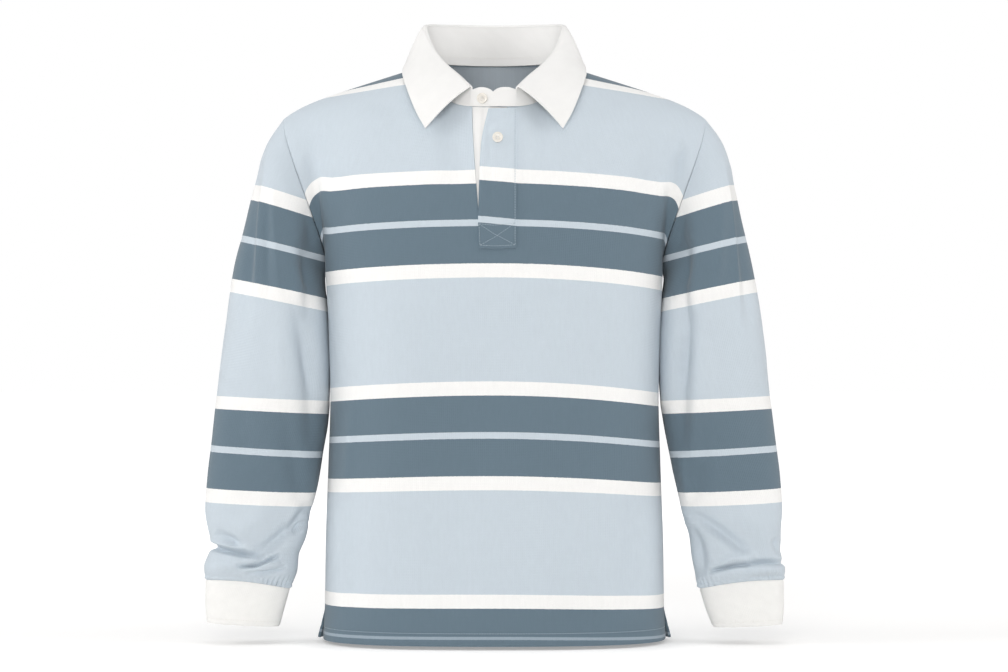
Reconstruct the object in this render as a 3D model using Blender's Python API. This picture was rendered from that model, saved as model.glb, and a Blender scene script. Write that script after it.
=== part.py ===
"""A long-sleeved rugby polo shirt, filled out as if worn, open at its top button.

Metres, +Z up, the front faces -Y. The origin lies midway between the points where the
shoulder seams meet the neck, so the shirt is held up there by its wearer's shoulders.
Right and left are the wearer's: the right sleeve is at -X.

The cloth is one form: rings of the body from hem to underarm, arches from the underarm
up to the neck and over the shoulders, and rings of the sleeves from armhole to cuff.
Every piece is cut from that form as a wall of its own, clear of the pieces beside it.
"""

import functools
import math

import bmesh
import bpy
from mathutils import Vector

MM = 0.001

# Walls of the cloth and the clearance at seams
SEAM_GAP = 0.3 * MM
JERSEY_WALL = 1.6 * MM
HEM_WALL = 3.0 * MM
CUFF_WALL = 2.6 * MM
COLLAR_WALL = 2.0 * MM
PLACKET_WALL = 1.8 * MM

# Body below the underarm, a row for each ring. The half width is the widest that shows
# from the front and the seam's is at the side seam. Squareness 1 is an ellipse and less
# is squarer.
CHEST_HEIGHT = -262
SIDE_SEAM_Y = 4 * MM
RING_COLUMNS = ("height", "half_width", "seam_half_width", "front", "back", "square")
BODY_RINGS = (
    (-736, 217, 217, 111, 116, 0.74),
    (-690, 216, 216, 110, 114, 0.74),
    (-610, 215, 215, 108, 108, 0.73),
    (-520, 212, 212, 106, 101, 0.72),
    (-435, 210, 208, 106, 97, 0.71),
    (-360, 210, 206, 108, 99, 0.71),
    (-300, 214, 206, 111, 105, 0.71),
    (CHEST_HEIGHT, 219, 212, 112, 109, 0.71),
)
SEAM_PINCH_POWER = 30
CHEST_MIDDLE = -120 * MM
RING_SAMPLES = 60
BODY_ROWS = (-736, -718, -715, -698, -655, -610, -565, -520, -475, -430, -385, -340, -300)

# Hem and the slits at its side seams
HEM_TOP = -716
VENT_TOP = -698 * MM
VENT_LENGTH = 38 * MM
VENT_FLARE = 4 * MM
VENT_SPREAD = 7 * MM
VENT_CURVE = 1.3
VENT_REACH_POWER = 14

# Neck seam and shoulder seams
NECK_SHARE = 0.29
NECK_HALF_WIDTH = 78 * MM
NECK_FRONT = 90 * MM
NECK_BACK = 70 * MM
NECK_FRONT_DROP = 67 * MM
NECK_BACK_RISE = 4 * MM
NECK_SCOOP_POWER = 1.6
SHOULDER_HALF_WIDTH = 270 * MM
SHOULDER_Y = 3 * MM
SHOULDER_SLOPE = 0.315
SHOULDER_END_DROP = 11 * MM
SHOULDER_END_POWER = 8

# The arches over chest and back are curves with two handles each, a row for each share
# of the panel from its middle, 0, to its armhole, 1. The low handle stands off the chest
# ring, and the high one off the neck seam or shoulder seam.
ARCH_COLUMNS = ("share", "low_out", "low_forward", "low_rise", "high_out", "high_forward", "high_drop")
FRONT_ARCHES = (
    (0, 0, 2, 60, 0, 12, 60),
    (0.1, 0, 2, 64, 0, 22, 50),
    (0.2, 0, 3, 85, 3, 50, 38),
    (0.29, 0, 5, 102, 2, 82, 16),
    (0.7, 0, 2, 95, 2, 72, 20),
    (0.86, 0, 12, 90, -1, 66, 24),
    (1, 4, 72, 47, 4, 58, 24),
)
BACK_ARCHES = (
    (0, 0, 4, 90, 0, 28, 50),
    (0.15, 0, 4, 100, 2, 50, 30),
    (0.29, 0, 2, 110, 2, 82, 14),
    (0.7, 0, 2, 100, 2, 72, 22),
    (0.86, 0, 10, 92, -1, 64, 26),
    (1, 4, 66, 47, 4, 56, 24),
)
NOTCH_BOTTOM = 0.105
ARCH_ROWS = (0, NOTCH_BOTTOM, 0.2, 0.3, 0.4, 0.5, 0.6, 0.7, 0.8, 0.9, 1)

# Placket: the slit's edges are columns of the front, and the band lies over the slit
SLIT_RIGHT_SHARE = -0.061
PLACKET_LEFT_SHARE = 0.1
SLIT_LEFT_SHARE = 0.068
NECK_ANGLES = ((-NECK_SHARE, 270), (SLIT_RIGHT_SHARE, 201), (PLACKET_LEFT_SHARE, 158.6), (NECK_SHARE, 90))
FRONT_STOPS = (SLIT_RIGHT_SHARE, SLIT_LEFT_SHARE)
BACK_STOPS = (-0.1, 0.1)
SLIT_WIDTH = 47 * MM
SLIT_LENGTH = 170 * MM
SLOPE_STEP = 0.02
FACING_DROP = 0.8 * MM
BAND_TOP = 0.985
BAND_COLUMNS = ("rise", "free_edge")
BAND_EDGE = (
    (0.09, -0.04),
    (0.2, -0.03),
    (0.5, 0.08),
    (0.75, 0.19),
    (1, 0.39),
)
BAND_ROWS = 12

# Sleeves, a row for each ring from armhole to cuff: the ring's inner and outer edge in
# the front view, its half depth and how far forward it hangs. The right sleeve bunches
# above its cuff a little otherwise than the left one.
SLEEVE_COLUMNS = ("inner_x", "inner_z", "outer_x", "outer_z", "depth", "forward")
UPPER_SLEEVE = (
    (212, -262, 273, -80, 62, -3),
    (215, -279, 294, -111, 70, -2),
    (217, -298, 308, -160, 74, 0),
    (217, -322, 319, -210, 75, 1),
    (217, -352, 331, -262, 74, 2),
    (216, -386, 342, -318, 70, 4),
    (216, -422, 351, -376, 64, 6),
    (217, -459, 359, -432, 57, 9),
    (221, -499, 365, -484, 50, 13),
    (227, -539, 368, -530, 44, 16),
    (235, -576, 369, -570, 39, 19),
)
RIGHT_SLEEVE_END = (
    (241, -607, 366, -600, 36, 20),
    (252, -630, 359, -622, 30, 21),
    (251, -648, 373, -643, 36, 22),
    (258, -671, 369, -663, 27, 22),
)
LEFT_SLEEVE_END = (
    (245, -607, 367, -601, 36, 20),
    (250, -632, 363, -626, 31, 21),
    (254, -652, 371, -646, 34, 22),
    (260, -671, 370, -663, 27, 22),
)
RIGHT_CUFF = ((258, -671, 369, -663, 27, 22), (265, -696, 370, -690, 25, 22), (270, -719, 368, -714, 24, 22))
LEFT_CUFF = ((260, -671, 370, -663, 27, 22), (268, -697, 370, -691, 25, 22), (277, -720, 368, -716, 24, 22))
SLEEVE_SQUARE = 0.88
ARMHOLE_BLEND = (1, 0.5, 0.22, 0.08)
SEAM_LEAN = Vector((0.956, 0, -0.293))

# Collar, a row for each section round the neck, 0 at the centre back and 90 at the
# shoulder seam: the top of its roll, and the free edge of its leaf
COLLAR_COLUMNS = ("angle", "roll_x", "roll_y", "roll_z", "edge_x", "edge_y", "edge_z")
LEAF_END_ANGLE = 157.4
COLLAR_SECTIONS = (
    (0, 0, 76, 55, 0, 92, -15),
    (22, 32, 72, 55, 44, 83, -15),
    (45, 62, 55, 54, 86, 60, -15),
    (70, 82, 28, 52, 110, 30, -9),
    (90, 86, 5, 47, 120, -4, -7),
    (105, 78, -18, 20, 118, -32, -17),
    (125, 61, -45, -9, 109, -65, -44),
    (145, 43, -68, -29, 97, -84, -74),
    (LEAF_END_ANGLE, 30, -85, -44, 86, -92, -94),
)
ROLL_RADIUS = 4 * MM
ROLL_GAP = 0.5 * MM
ROLL_UPWARD = 20 * MM
ROLL_STEPS = 4
LEAF_STEPS = 5
LEAF_BULGE = 7 * MM
LEAF_HANDLE = 0.35
STAND_RIGHT_END = -183
STAND_LEFT_END = 184.8
STAND_END_HEIGHT = 24 * MM
STAND_DIP = 4 * MM
STAND_DIP_ANGLE = 9
STAND_CORNER = 19 * MM
STAND_LAP = 2.7 * MM
STAND_LAP_START = 140
STAND_STEPS = 3
SIDE_STEP = 2

# Buttons: one on the stand's right end, one through the band
BUTTON_RADIUS = 6.6 * MM
BUTTON_THICKNESS = 3 * MM
BUTTON_DISH = 0.9 * MM
BUTTON_SIDES = 24
BUTTON_LIFT = 0.5 * MM
NECK_BUTTON_ANGLE = -169.2
NECK_BUTTON_HEIGHT = 10 * MM
BAND_BUTTON_RISE = 0.78
BAND_BUTTON_ACROSS = 0.58

SIDES = {"right": -1, "left": 1}

# Colours as red, green and blue light, and how matt each cloth is
MATERIALS = {
    "striped_jersey": ((0.60, 0.68, 0.75), 0.9),
    "white_drill": ((0.93, 0.93, 0.91), 0.85),
    "white_rib": ((0.93, 0.92, 0.90), 0.9),
    "ivory_resin": ((0.86, 0.83, 0.78), 0.4),
}


def interpolate(knots, values, at, level_start=False):
    """A smooth value between knots that never overshoots its neighbours."""
    last = len(knots) - 1
    i = min(max(sum(knot <= at for knot in knots) - 1, 0), last - 1)
    slopes = [(values[n + 1] - values[n]) / (knots[n + 1] - knots[n]) for n in range(last)]

    def slope_at(n):
        if n == 0:
            return 0 if level_start else slopes[0]
        if n == last:
            return slopes[-1]
        before, after = slopes[n - 1], slopes[n]
        return 0 if before * after <= 0 else 2 * before * after / (before + after)

    width = knots[i + 1] - knots[i]
    t = (at - knots[i]) / width
    bends = slope_at(i) * t * (1 - t) ** 2 - slope_at(i + 1) * t * t * (1 - t)
    return values[i] + (values[i + 1] - values[i]) * t * t * (3 - 2 * t) + bends * width


def read_table(rows, columns, at, level_start=()):
    """A row of the table at any value of its first column, by column name."""
    knots = [row[0] for row in rows]
    return {
        name: interpolate(knots, [row[n] for row in rows], at, name in level_start)
        for n, name in enumerate(columns)
    }


def bezier(start, low, high, end, t):
    """A point of the curve with two ends and two handles."""
    return start * (1 - t) ** 3 + low * 3 * t * (1 - t) ** 2 + high * 3 * t * t * (1 - t) + end * t**3


def body_ring(height, shares, facing):
    """Points of half a body ring, from the right side seam, -1, to the left one, 1."""
    row = read_table(BODY_RINGS, RING_COLUMNS, height)
    depth = row["front"] if facing < 0 else row["back"]
    pinch = row["half_width"] - row["seam_half_width"]
    quarter = []
    for n in range(RING_SAMPLES + 1):
        turn = n / RING_SAMPLES * math.pi / 2
        across = row["half_width"] * math.sin(turn) ** row["square"]
        across -= pinch * math.sin(turn) ** SEAM_PINCH_POWER
        away = facing * depth * max(math.cos(turn), 0) ** row["square"]
        quarter.append(Vector((across, away)) * MM)
    lengths = [0]
    for n in range(RING_SAMPLES):
        lengths.append(lengths[n] + (quarter[n + 1] - quarter[n]).length)
    points = []
    for share in shares:
        wanted = abs(share) * lengths[-1]
        n = min(sum(length <= wanted for length in lengths) - 1, RING_SAMPLES - 1)
        part = (wanted - lengths[n]) / (lengths[n + 1] - lengths[n])
        flat = quarter[n].lerp(quarter[n + 1], part)
        points.append(Vector((math.copysign(flat.x, share), SIDE_SEAM_Y + flat.y, height * MM)))
    return points


def neck_point(angle):
    """A point of the neck seam, 0 at the centre back, 90 at the left shoulder seam."""
    across = math.sin(math.radians(angle))
    along = math.cos(math.radians(angle))
    if along >= 0:
        return Vector((across * NECK_HALF_WIDTH, along * NECK_BACK, along * NECK_BACK_RISE))
    drop = NECK_FRONT_DROP * (1 - (1 + along) ** NECK_SCOOP_POWER)
    return Vector((across * NECK_HALF_WIDTH, along * NECK_FRONT, -drop))


def neck_angle(share, facing):
    """Where a column meets the neck seam, 90 to 270 on the front and -90 to 90 behind."""
    if facing > 0:
        return 90 * share / NECK_SHARE
    shares, angles = zip(*NECK_ANGLES)
    return interpolate(shares, angles, share)


def top_point(share, facing):
    """The top of a column: on the neck seam or, further out, on the shoulder seam."""
    side = math.copysign(1, share)
    if abs(share) < NECK_SHARE:
        return neck_point(neck_angle(share, facing))
    out = (abs(share) - NECK_SHARE) / (1 - NECK_SHARE)
    across = out * (SHOULDER_HALF_WIDTH - NECK_HALF_WIDTH)
    drop = SHOULDER_SLOPE * across + SHOULDER_END_DROP * out**SHOULDER_END_POWER
    return Vector((side * (NECK_HALF_WIDTH + across), SHOULDER_Y * out, -drop))


def arch(share, rises, facing):
    """Points of one column above the chest ring, for each share of its rise."""
    start = body_ring(CHEST_HEIGHT, [share], facing)[0]
    end = top_point(share, facing)
    row = read_table(FRONT_ARCHES if facing < 0 else BACK_ARCHES, ARCH_COLUMNS, abs(share))
    side = math.copysign(1, share)
    low = start + Vector((side * row["low_out"], facing * row["low_forward"], row["low_rise"])) * MM
    high = end + Vector((side * row["high_out"], facing * row["high_forward"], -row["high_drop"])) * MM
    return [bezier(start, low, high, end, rise) for rise in rises]


def open_vent(point, share, facing):
    """Flare a point of the hem's corners, where the side seam is left open."""
    depth = max(VENT_TOP - point.z, 0) / VENT_LENGTH
    reach = depth**VENT_CURVE * abs(share) ** VENT_REACH_POWER
    flare = math.copysign(VENT_FLARE * reach, share)
    return point + Vector((flare, facing * VENT_SPREAD * reach, 0))


def panel_grid(shares, facing):
    """Rows of a panel's outer points, from hem to neck and shoulders."""
    rows = []
    for height in BODY_ROWS:
        ring = body_ring(height, shares, facing)
        rows.append([open_vent(point, share, facing) for point, share in zip(ring, shares)])
    columns = [arch(share, ARCH_ROWS, facing) for share in shares]
    rows.extend([column[n] for column in columns] for n in range(len(ARCH_ROWS)))
    return rows


def grid_normals(grid, outward_from, closed=False):
    """Normals of a grid of points, all on the side away from the given inner point."""
    height, width = len(grid), len(grid[0])
    normals = []
    total = 0
    for i in range(height):
        row = []
        for j in range(width):
            if closed:
                left, right = grid[i][j - 1], grid[i][(j + 1) % width]
            else:
                left, right = grid[i][max(j - 1, 0)], grid[i][min(j + 1, width - 1)]
            rise = grid[min(i + 1, height - 1)][j] - grid[max(i - 1, 0)][j]
            normal = (right - left).cross(rise).normalized()
            total += normal.dot(grid[i][j] - outward_from(i))
            row.append(normal)
        normals.append(row)
    if total < 0:
        normals = [[-normal for normal in row] for row in normals]
    return normals


def keep_off_seam(normal, across, side):
    """Turn a normal so that a wall's end face doesn't lean over the seam beside it."""
    lean = normal.dot(across) * side
    return (normal - across * lean * side).normalized() if lean > 0 else normal


def add_object(name, mesh, material):
    """Link a finished mesh as a named object with its own material."""
    colour, roughness = MATERIALS[material]
    finish = bpy.data.materials.new(f"{name}_{material}")
    finish.use_nodes = True
    shader = finish.node_tree.nodes["Principled BSDF"]
    shader.inputs["Base Color"].default_value = (*colour, 1)
    shader.inputs["Roughness"].default_value = roughness
    shader.inputs["Metallic"].default_value = 0
    mesh.materials.append(finish)
    mesh.shade_smooth()
    mesh.set_sharp_from_angle(angle=math.radians(50))
    piece = bpy.data.objects.new(name, mesh)
    bpy.context.collection.objects.link(piece)
    return piece


def add_wall(name, outer, inner, material, closed=False, left_out=()):
    """A closed wall between two grids of points, without the cells left out."""
    height, width = len(outer), len(outer[0])
    work = bmesh.new()
    skins = [[[work.verts.new(point) for point in row] for row in grid] for grid in (outer, inner)]
    spans = width if closed else width - 1
    edges = {}
    for i in range(height - 1):
        for j in range(spans):
            if (i, j) in left_out:
                continue
            ring = [(i, j), (i, (j + 1) % width), (i + 1, (j + 1) % width), (i + 1, j)]
            for skin in skins:
                work.faces.new([skin[a][b] for a, b in ring])
            for n in range(4):
                edge = frozenset((ring[n], ring[(n + 1) % 4]))
                edges[edge] = edges.get(edge, 0) + 1
    for edge, uses in edges.items():
        if uses == 1:
            (a, b), (c, d) = edge
            work.faces.new([skins[0][a][b], skins[0][c][d], skins[1][c][d], skins[1][a][b]])
    bmesh.ops.delete(work, geom=[v for v in work.verts if not v.link_faces], context="VERTS")
    bmesh.ops.recalc_face_normals(work, faces=work.faces)
    mesh = bpy.data.meshes.new(name)
    work.to_mesh(mesh)
    work.free()
    return add_object(name, mesh, material)


def spread(start, end, steps):
    """Even values from start up to end, which is left to the next stretch."""
    return [start + (end - start) * n / steps for n in range(steps)]


def panel_shares(inner_stops):
    """Shares of a panel's columns, with a column at each stop in its middle."""
    stops = (-1, -NECK_SHARE, *inner_stops, NECK_SHARE, 1)
    steps = (9, *[3] * (len(inner_stops) + 1), 9)
    shares = []
    for start, end, count in zip(stops, stops[1:], steps):
        shares.extend(spread(start, end, count))
    return [*shares, 1]


def add_panel(name, shares, facing, slit=None):
    """The front or the back, down to its hem, set off its seams."""
    grid = panel_grid(shares, facing)
    normals = grid_normals(grid, lambda i: Vector((0, 0, min(grid[i][0].z, CHEST_MIDDLE))))
    first_arch = len(BODY_ROWS)
    half_gap = SEAM_GAP / 2
    outer, inner = [], []
    for i, row in enumerate(grid):
        outer_row, inner_row = [], []
        for j, point in enumerate(row):
            normal = normals[i][j]
            side = math.copysign(1, shares[j])
            lean = Vector((side * SEAM_LEAN.x, 0, SEAM_LEAN.z))
            on_edge = j in (0, len(row) - 1)
            on_shoulder = i == len(grid) - 1 and abs(shares[j]) >= NECK_SHARE
            if on_edge and i >= first_arch:
                normal = keep_off_seam(normal, lean, -1)
                point = point - lean * half_gap
            if on_shoulder or (on_edge and i <= first_arch):
                normal = Vector((normal.x, 0, normal.z)).normalized()
                point = point + Vector((0, facing * half_gap, 0))
            height = row[0].z / MM
            wall = HEM_WALL if height < HEM_TOP else JERSEY_WALL
            outer_row.append(point)
            inner_row.append(point - normal * wall)
        outer.append(outer_row)
        inner.append(inner_row)
    left_out = set()
    if slit:
        first = first_arch + ARCH_ROWS.index(NOTCH_BOTTOM)
        columns = range(shares.index(slit[0]), shares.index(slit[1]))
        left_out = {(i, j) for i in range(first, len(grid) - 1) for j in columns}
    return add_wall(name, outer, inner, "striped_jersey", left_out=left_out)


def front_point(across, rise):
    """A point and normal of the front near its slit, across 0 to 1 from its right edge."""
    width = PLACKET_LEFT_SHARE - SLIT_RIGHT_SHARE

    def at(sideways, upward):
        return arch(SLIT_RIGHT_SHARE + sideways * width, [upward], -1)[0]

    breadth = at(across + SLOPE_STEP, rise) - at(across - SLOPE_STEP, rise)
    above = min(rise + SLOPE_STEP, 1)
    height = at(across, above) - at(across, above - 2 * SLOPE_STEP)
    return at(across, rise), breadth.cross(height).normalized()


def strip_on_front(name, rises, across_at, lift, wall, material, across_steps):
    """A strip that follows the front, with its outer face lifted off the front's."""
    outer, inner = [], []
    for rise in rises:
        first, last = across_at(rise)
        outer_row, inner_row = [], []
        for n in range(across_steps + 1):
            point, normal = front_point(first + (last - first) * n / across_steps, rise)
            outer_row.append(point + normal * lift)
            inner_row.append(point + normal * (lift - wall))
        outer.append(outer_row)
        inner.append(inner_row)
    return add_wall(name, outer, inner, material)


def add_placket():
    """The white facing in the slit, and the striped band that laps over it."""
    width = PLACKET_LEFT_SHARE - SLIT_RIGHT_SHARE
    slit_end = (SLIT_LEFT_SHARE - SLIT_RIGHT_SHARE) / width
    clear = SEAM_GAP / SLIT_WIDTH
    climb = SEAM_GAP / SLIT_LENGTH
    facing_rises = [*spread(NOTCH_BOTTOM + climb, 1, BAND_ROWS), 1]
    strip_on_front(
        "placket_facing",
        facing_rises,
        lambda rise: (clear, slit_end - clear),
        -FACING_DROP,
        PLACKET_WALL,
        "white_drill",
        3,
    )
    band_rises = [*spread(BAND_EDGE[0][0], BAND_TOP, BAND_ROWS), BAND_TOP]
    strip_on_front(
        "placket_band",
        band_rises,
        lambda rise: (read_table(BAND_EDGE, BAND_COLUMNS, rise)["free_edge"], 1),
        PLACKET_WALL + SEAM_GAP,
        PLACKET_WALL,
        "striped_jersey",
        4,
    )


def sleeve_ring(row, turns, side):
    """Points of a sleeve ring, from its inner edge round by the front."""
    ring = {name: value * MM for name, value in zip(SLEEVE_COLUMNS, row)}
    inner_edge = Vector((ring["inner_x"], -ring["forward"], ring["inner_z"]))
    outer_edge = Vector((ring["outer_x"], -ring["forward"], ring["outer_z"]))
    centre = (inner_edge + outer_edge) / 2
    arm = (outer_edge - inner_edge) / 2
    points = []
    for turn in turns:
        across = math.copysign(abs(math.cos(turn)) ** SLEEVE_SQUARE, -math.cos(turn))
        away = math.copysign(abs(math.sin(turn)) ** SLEEVE_SQUARE, -math.sin(turn))
        point = centre + arm * across + Vector((0, ring["depth"] * away, 0))
        points.append(Vector((side * point.x, point.y, point.z)))
    return points


def armhole_loop(side):
    """The armhole seam, from the underarm up the front and down the back."""
    up = arch(side, ARCH_ROWS, -1)
    down = arch(side, ARCH_ROWS, 1)
    return [*up, *reversed(down[1:-1])]


def add_tube(name, grid, wall, material, seam_normals=None):
    """A tube's wall, thickened inwards."""

    def middle(i):
        return sum(grid[i], Vector()) / len(grid[i])

    normals = grid_normals(grid, middle, closed=True)
    if seam_normals:
        normals[0] = [seam_normals(normal) for normal in normals[0]]
    inner = [[p - n * wall for p, n in zip(*pair)] for pair in zip(grid, normals)]
    return add_wall(name, grid, inner, material, closed=True)


def add_sleeve(label, side, lower_rows, cuff_rows):
    """A sleeve from its armhole seam, and the cuff that it is gathered into."""
    loop = armhole_loop(side)
    turns = [2 * math.pi * n / len(loop) for n in range(len(loop))]
    lean = Vector((side * SEAM_LEAN.x, 0, SEAM_LEAN.z))
    rows = [*UPPER_SLEEVE, *lower_rows]
    rings = [sleeve_ring(row, turns, side) for row in rows]
    offsets = [seam - ring for seam, ring in zip(loop, rings[0])]
    for n, share in enumerate(ARMHOLE_BLEND):
        rings[n] = [point + offset * share for point, offset in zip(rings[n], offsets)]
    rings[0] = [point + lean * SEAM_GAP / 2 for point in rings[0]]
    add_tube(
        f"sleeve_{label}",
        rings,
        JERSEY_WALL,
        "striped_jersey",
        lambda normal: keep_off_seam(normal, lean, 1),
    )
    cuff = [sleeve_ring(row, turns, side) for row in cuff_rows]
    cuff[0] = [point - Vector((0, 0, SEAM_GAP)) for point in cuff[0]]
    add_tube(f"cuff_{label}", cuff, CUFF_WALL, "white_rib")


@functools.cache
def seam_angles():
    """Where the panels' columns meet the neck seam, from the front round by the right."""
    back = [neck_angle(s, 1) for s in panel_shares(BACK_STOPS) if abs(s) <= NECK_SHARE]
    front = [neck_angle(s, -1) for s in panel_shares(FRONT_STOPS) if abs(s) <= NECK_SHARE]
    left = sorted(front)
    right = [angle - 360 for angle in left]
    return [*right[:-1], *back, *left[1:]]


def seam_point(angle):
    """A point of the neck seam as the panels' straight facets make it."""
    corners = seam_angles()
    n = min(max(sum(corner <= angle for corner in corners) - 1, 0), len(corners) - 2)
    part = (angle - corners[n]) / (corners[n + 1] - corners[n])
    return neck_point(corners[n]).lerp(neck_point(corners[n + 1]), part)


def collar_angles(first, last):
    """Angles of the collar's sections: the neck seam's corners, and one between each two."""
    stops = [first, *(a for a in (*seam_angles(), -LEAF_END_ANGLE, LEAF_END_ANGLE) if first < a < last), last]
    stops.sort()
    angles = []
    for start, end in zip(stops, stops[1:]):
        angles.extend((start, (start + end) / 2))
    return [*angles, last]


def collar_section(angle):
    """The roll's middle, the leaf's edge, and the directions up and in from the stand,
    and down and out from the leaf."""
    side = math.copysign(1, angle)

    def at(degrees):
        even = ("roll_y", "roll_z", "edge_y", "edge_z")
        row = read_table(COLLAR_SECTIONS, COLLAR_COLUMNS, abs(degrees), even)
        roll = Vector((side * row["roll_x"], row["roll_y"], row["roll_z"])) * MM
        edge = Vector((side * row["edge_x"], row["edge_y"], row["edge_z"])) * MM
        return roll, edge

    roll, edge = at(angle)
    along = at(angle + side * SIDE_STEP)[0] - at(angle - side * SIDE_STEP)[0]
    if abs(angle) <= SIDE_STEP:
        along = Vector((1, 0, 0))
    rise = (roll - seam_point(angle)).normalized()
    down = (edge - roll).normalized()
    inward = rise.cross(along).normalized()
    out = down.cross(along).normalized()
    if inward.dot(Vector((roll.x, roll.y, 0))) > 0:
        inward = -inward
    if out.dot(Vector((roll.x, roll.y, ROLL_UPWARD))) < 0:
        out = -out
    return roll, edge, rise, inward, down, out


def leaf_points(angle):
    """The leaf's outer face, over its roll from inside and down to its free edge, and
    the directions in which its roll faces."""
    roll, edge, rise, inward, down, out = collar_section(angle)
    fold = math.atan2(out.dot(rise), out.dot(inward)) % (2 * math.pi)
    turns = [fold * n / ROLL_STEPS for n in range(ROLL_STEPS)]
    facings = [inward * math.cos(turn) + rise * math.sin(turn) for turn in turns]
    points = [roll + facing * ROLL_RADIUS for facing in facings]
    start = roll + out * ROLL_RADIUS
    reach = (edge - start).length * LEAF_HANDLE
    low = start + down * reach + out * LEAF_BULGE
    high = edge - down * reach + out * LEAF_BULGE
    points.extend(bezier(start, low, high, edge, n / LEAF_STEPS) for n in range(LEAF_STEPS + 1))
    return points, facings


def add_leaf():
    """The leaf of the collar, turned down over the stand."""
    sections = [leaf_points(angle) for angle in collar_angles(-LEAF_END_ANGLE, LEAF_END_ANGLE)]
    outer = [points for points, facings in sections]
    normals = grid_normals(outer, lambda i: Vector((0, 0, CHEST_MIDDLE)))
    for row, (points, facings) in zip(normals, sections):
        row[:ROLL_STEPS] = facings
    inner = [[p - n * COLLAR_WALL for p, n in zip(*pair)] for pair in zip(outer, normals)]
    return add_wall("collar_leaf", outer, inner, "white_drill")


def stand_points(angle):
    """The stand's outer face, from just above the neck seam to its top edge."""
    foot = seam_point(angle)
    lapped = max(angle - STAND_LAP_START, 0) / (180 - STAND_LAP_START)
    foot = foot + Vector((0, -STAND_LAP * min(lapped, 1), SEAM_GAP))
    if abs(angle) <= LEAF_END_ANGLE:
        roll, edge, rise, inward, down, out = collar_section(angle)
        top = roll + inward * (ROLL_RADIUS - COLLAR_WALL) - rise * ROLL_GAP
    else:
        end = STAND_RIGHT_END if angle < 0 else STAND_LEFT_END
        from_end = abs(math.radians(end - angle)) * NECK_HALF_WIDTH
        short = max(STAND_CORNER - from_end, 0)
        height = STAND_END_HEIGHT - STAND_CORNER + math.sqrt(STAND_CORNER**2 - short**2)
        height -= STAND_DIP * max(1 - (abs(angle) - LEAF_END_ANGLE) / STAND_DIP_ANGLE, 0)
        top = foot + Vector((0, 0, height))
    return [foot.lerp(top, n / STAND_STEPS) for n in range(STAND_STEPS + 1)]


def add_stand():
    """The stand, whose left end laps in front of its right end."""
    outer = [stand_points(angle) for angle in collar_angles(STAND_RIGHT_END, STAND_LEFT_END)]
    normals = grid_normals(outer, lambda i: Vector((0, 0, -NECK_BACK_RISE)))
    inner = [[p - n * COLLAR_WALL for p, n in zip(*pair)] for pair in zip(outer, normals)]
    return add_wall("collar_stand", outer, inner, "white_drill")


def add_button(name, seat, normal):
    """A round button with a dished face, lying on its seat."""
    profile = (
        (0, 0),
        (BUTTON_RADIUS * 0.9, 0),
        (BUTTON_RADIUS, BUTTON_THICKNESS * 0.35),
        (BUTTON_RADIUS, BUTTON_THICKNESS * 0.75),
        (BUTTON_RADIUS * 0.88, BUTTON_THICKNESS),
        (BUTTON_RADIUS * 0.72, BUTTON_THICKNESS - BUTTON_DISH * 0.4),
        (BUTTON_RADIUS * 0.6, BUTTON_THICKNESS - BUTTON_DISH),
        (0, BUTTON_THICKNESS - BUTTON_DISH),
    )
    work = bmesh.new()
    points = [work.verts.new((radius, 0, height)) for radius, height in profile]
    for start, end in zip(points, points[1:]):
        work.edges.new((start, end))
    geometry = [*work.verts, *work.edges]
    bmesh.ops.spin(
        work,
        geom=geometry,
        cent=(0, 0, 0),
        axis=(0, 0, 1),
        angle=2 * math.pi,
        steps=BUTTON_SIDES,
    )
    bmesh.ops.remove_doubles(work, verts=work.verts, dist=0.01 * MM)
    bmesh.ops.recalc_face_normals(work, faces=work.faces)
    mesh = bpy.data.meshes.new(name)
    work.to_mesh(mesh)
    work.free()
    button = add_object(name, mesh, "ivory_resin")
    button.location = seat + normal * BUTTON_LIFT
    button.rotation_mode = "QUATERNION"
    button.rotation_quaternion = Vector((0, 0, 1)).rotation_difference(normal)
    return button


def add_buttons():
    """The open button on the stand's right end, and the fastened one on the band."""
    column = stand_points(NECK_BUTTON_ANGLE)
    beside = stand_points(NECK_BUTTON_ANGLE + SIDE_STEP)
    rise = (column[-1] - column[0]).normalized()
    normal = (beside[0] - column[0]).cross(rise).normalized()
    if normal.y > 0:
        normal = -normal
    add_button("button_neck", column[0] + rise * NECK_BUTTON_HEIGHT, normal)
    point, normal = front_point(BAND_BUTTON_ACROSS, BAND_BUTTON_RISE)
    add_button("button_placket", point + normal * (PLACKET_WALL + SEAM_GAP), normal)


def build():
    """Empty the scene and make every piece of the shirt."""
    for piece in list(bpy.data.objects):
        bpy.data.objects.remove(piece)
    add_panel("front_panel", panel_shares(FRONT_STOPS), -1, slit=FRONT_STOPS)
    add_panel("back_panel", panel_shares(BACK_STOPS), 1)
    add_placket()
    add_sleeve("right", SIDES["right"], RIGHT_SLEEVE_END, RIGHT_CUFF)
    add_sleeve("left", SIDES["left"], LEFT_SLEEVE_END, LEFT_CUFF)
    add_stand()
    add_leaf()
    add_buttons()


build()
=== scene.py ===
"""A long-sleeved rugby polo shirt in striped cotton jersey, filled out as if worn.

Metres, +Z up, the front faces -Y. Right and left are the wearer's: the right sleeve is at -X.
The cloth follows the same form as the solids: rings of the body, arches over chest and back,
and rings of the sleeves. Each piece is a thin shell on that form, finer than its solid, with
its folds, its sewing and its knit.
"""

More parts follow.
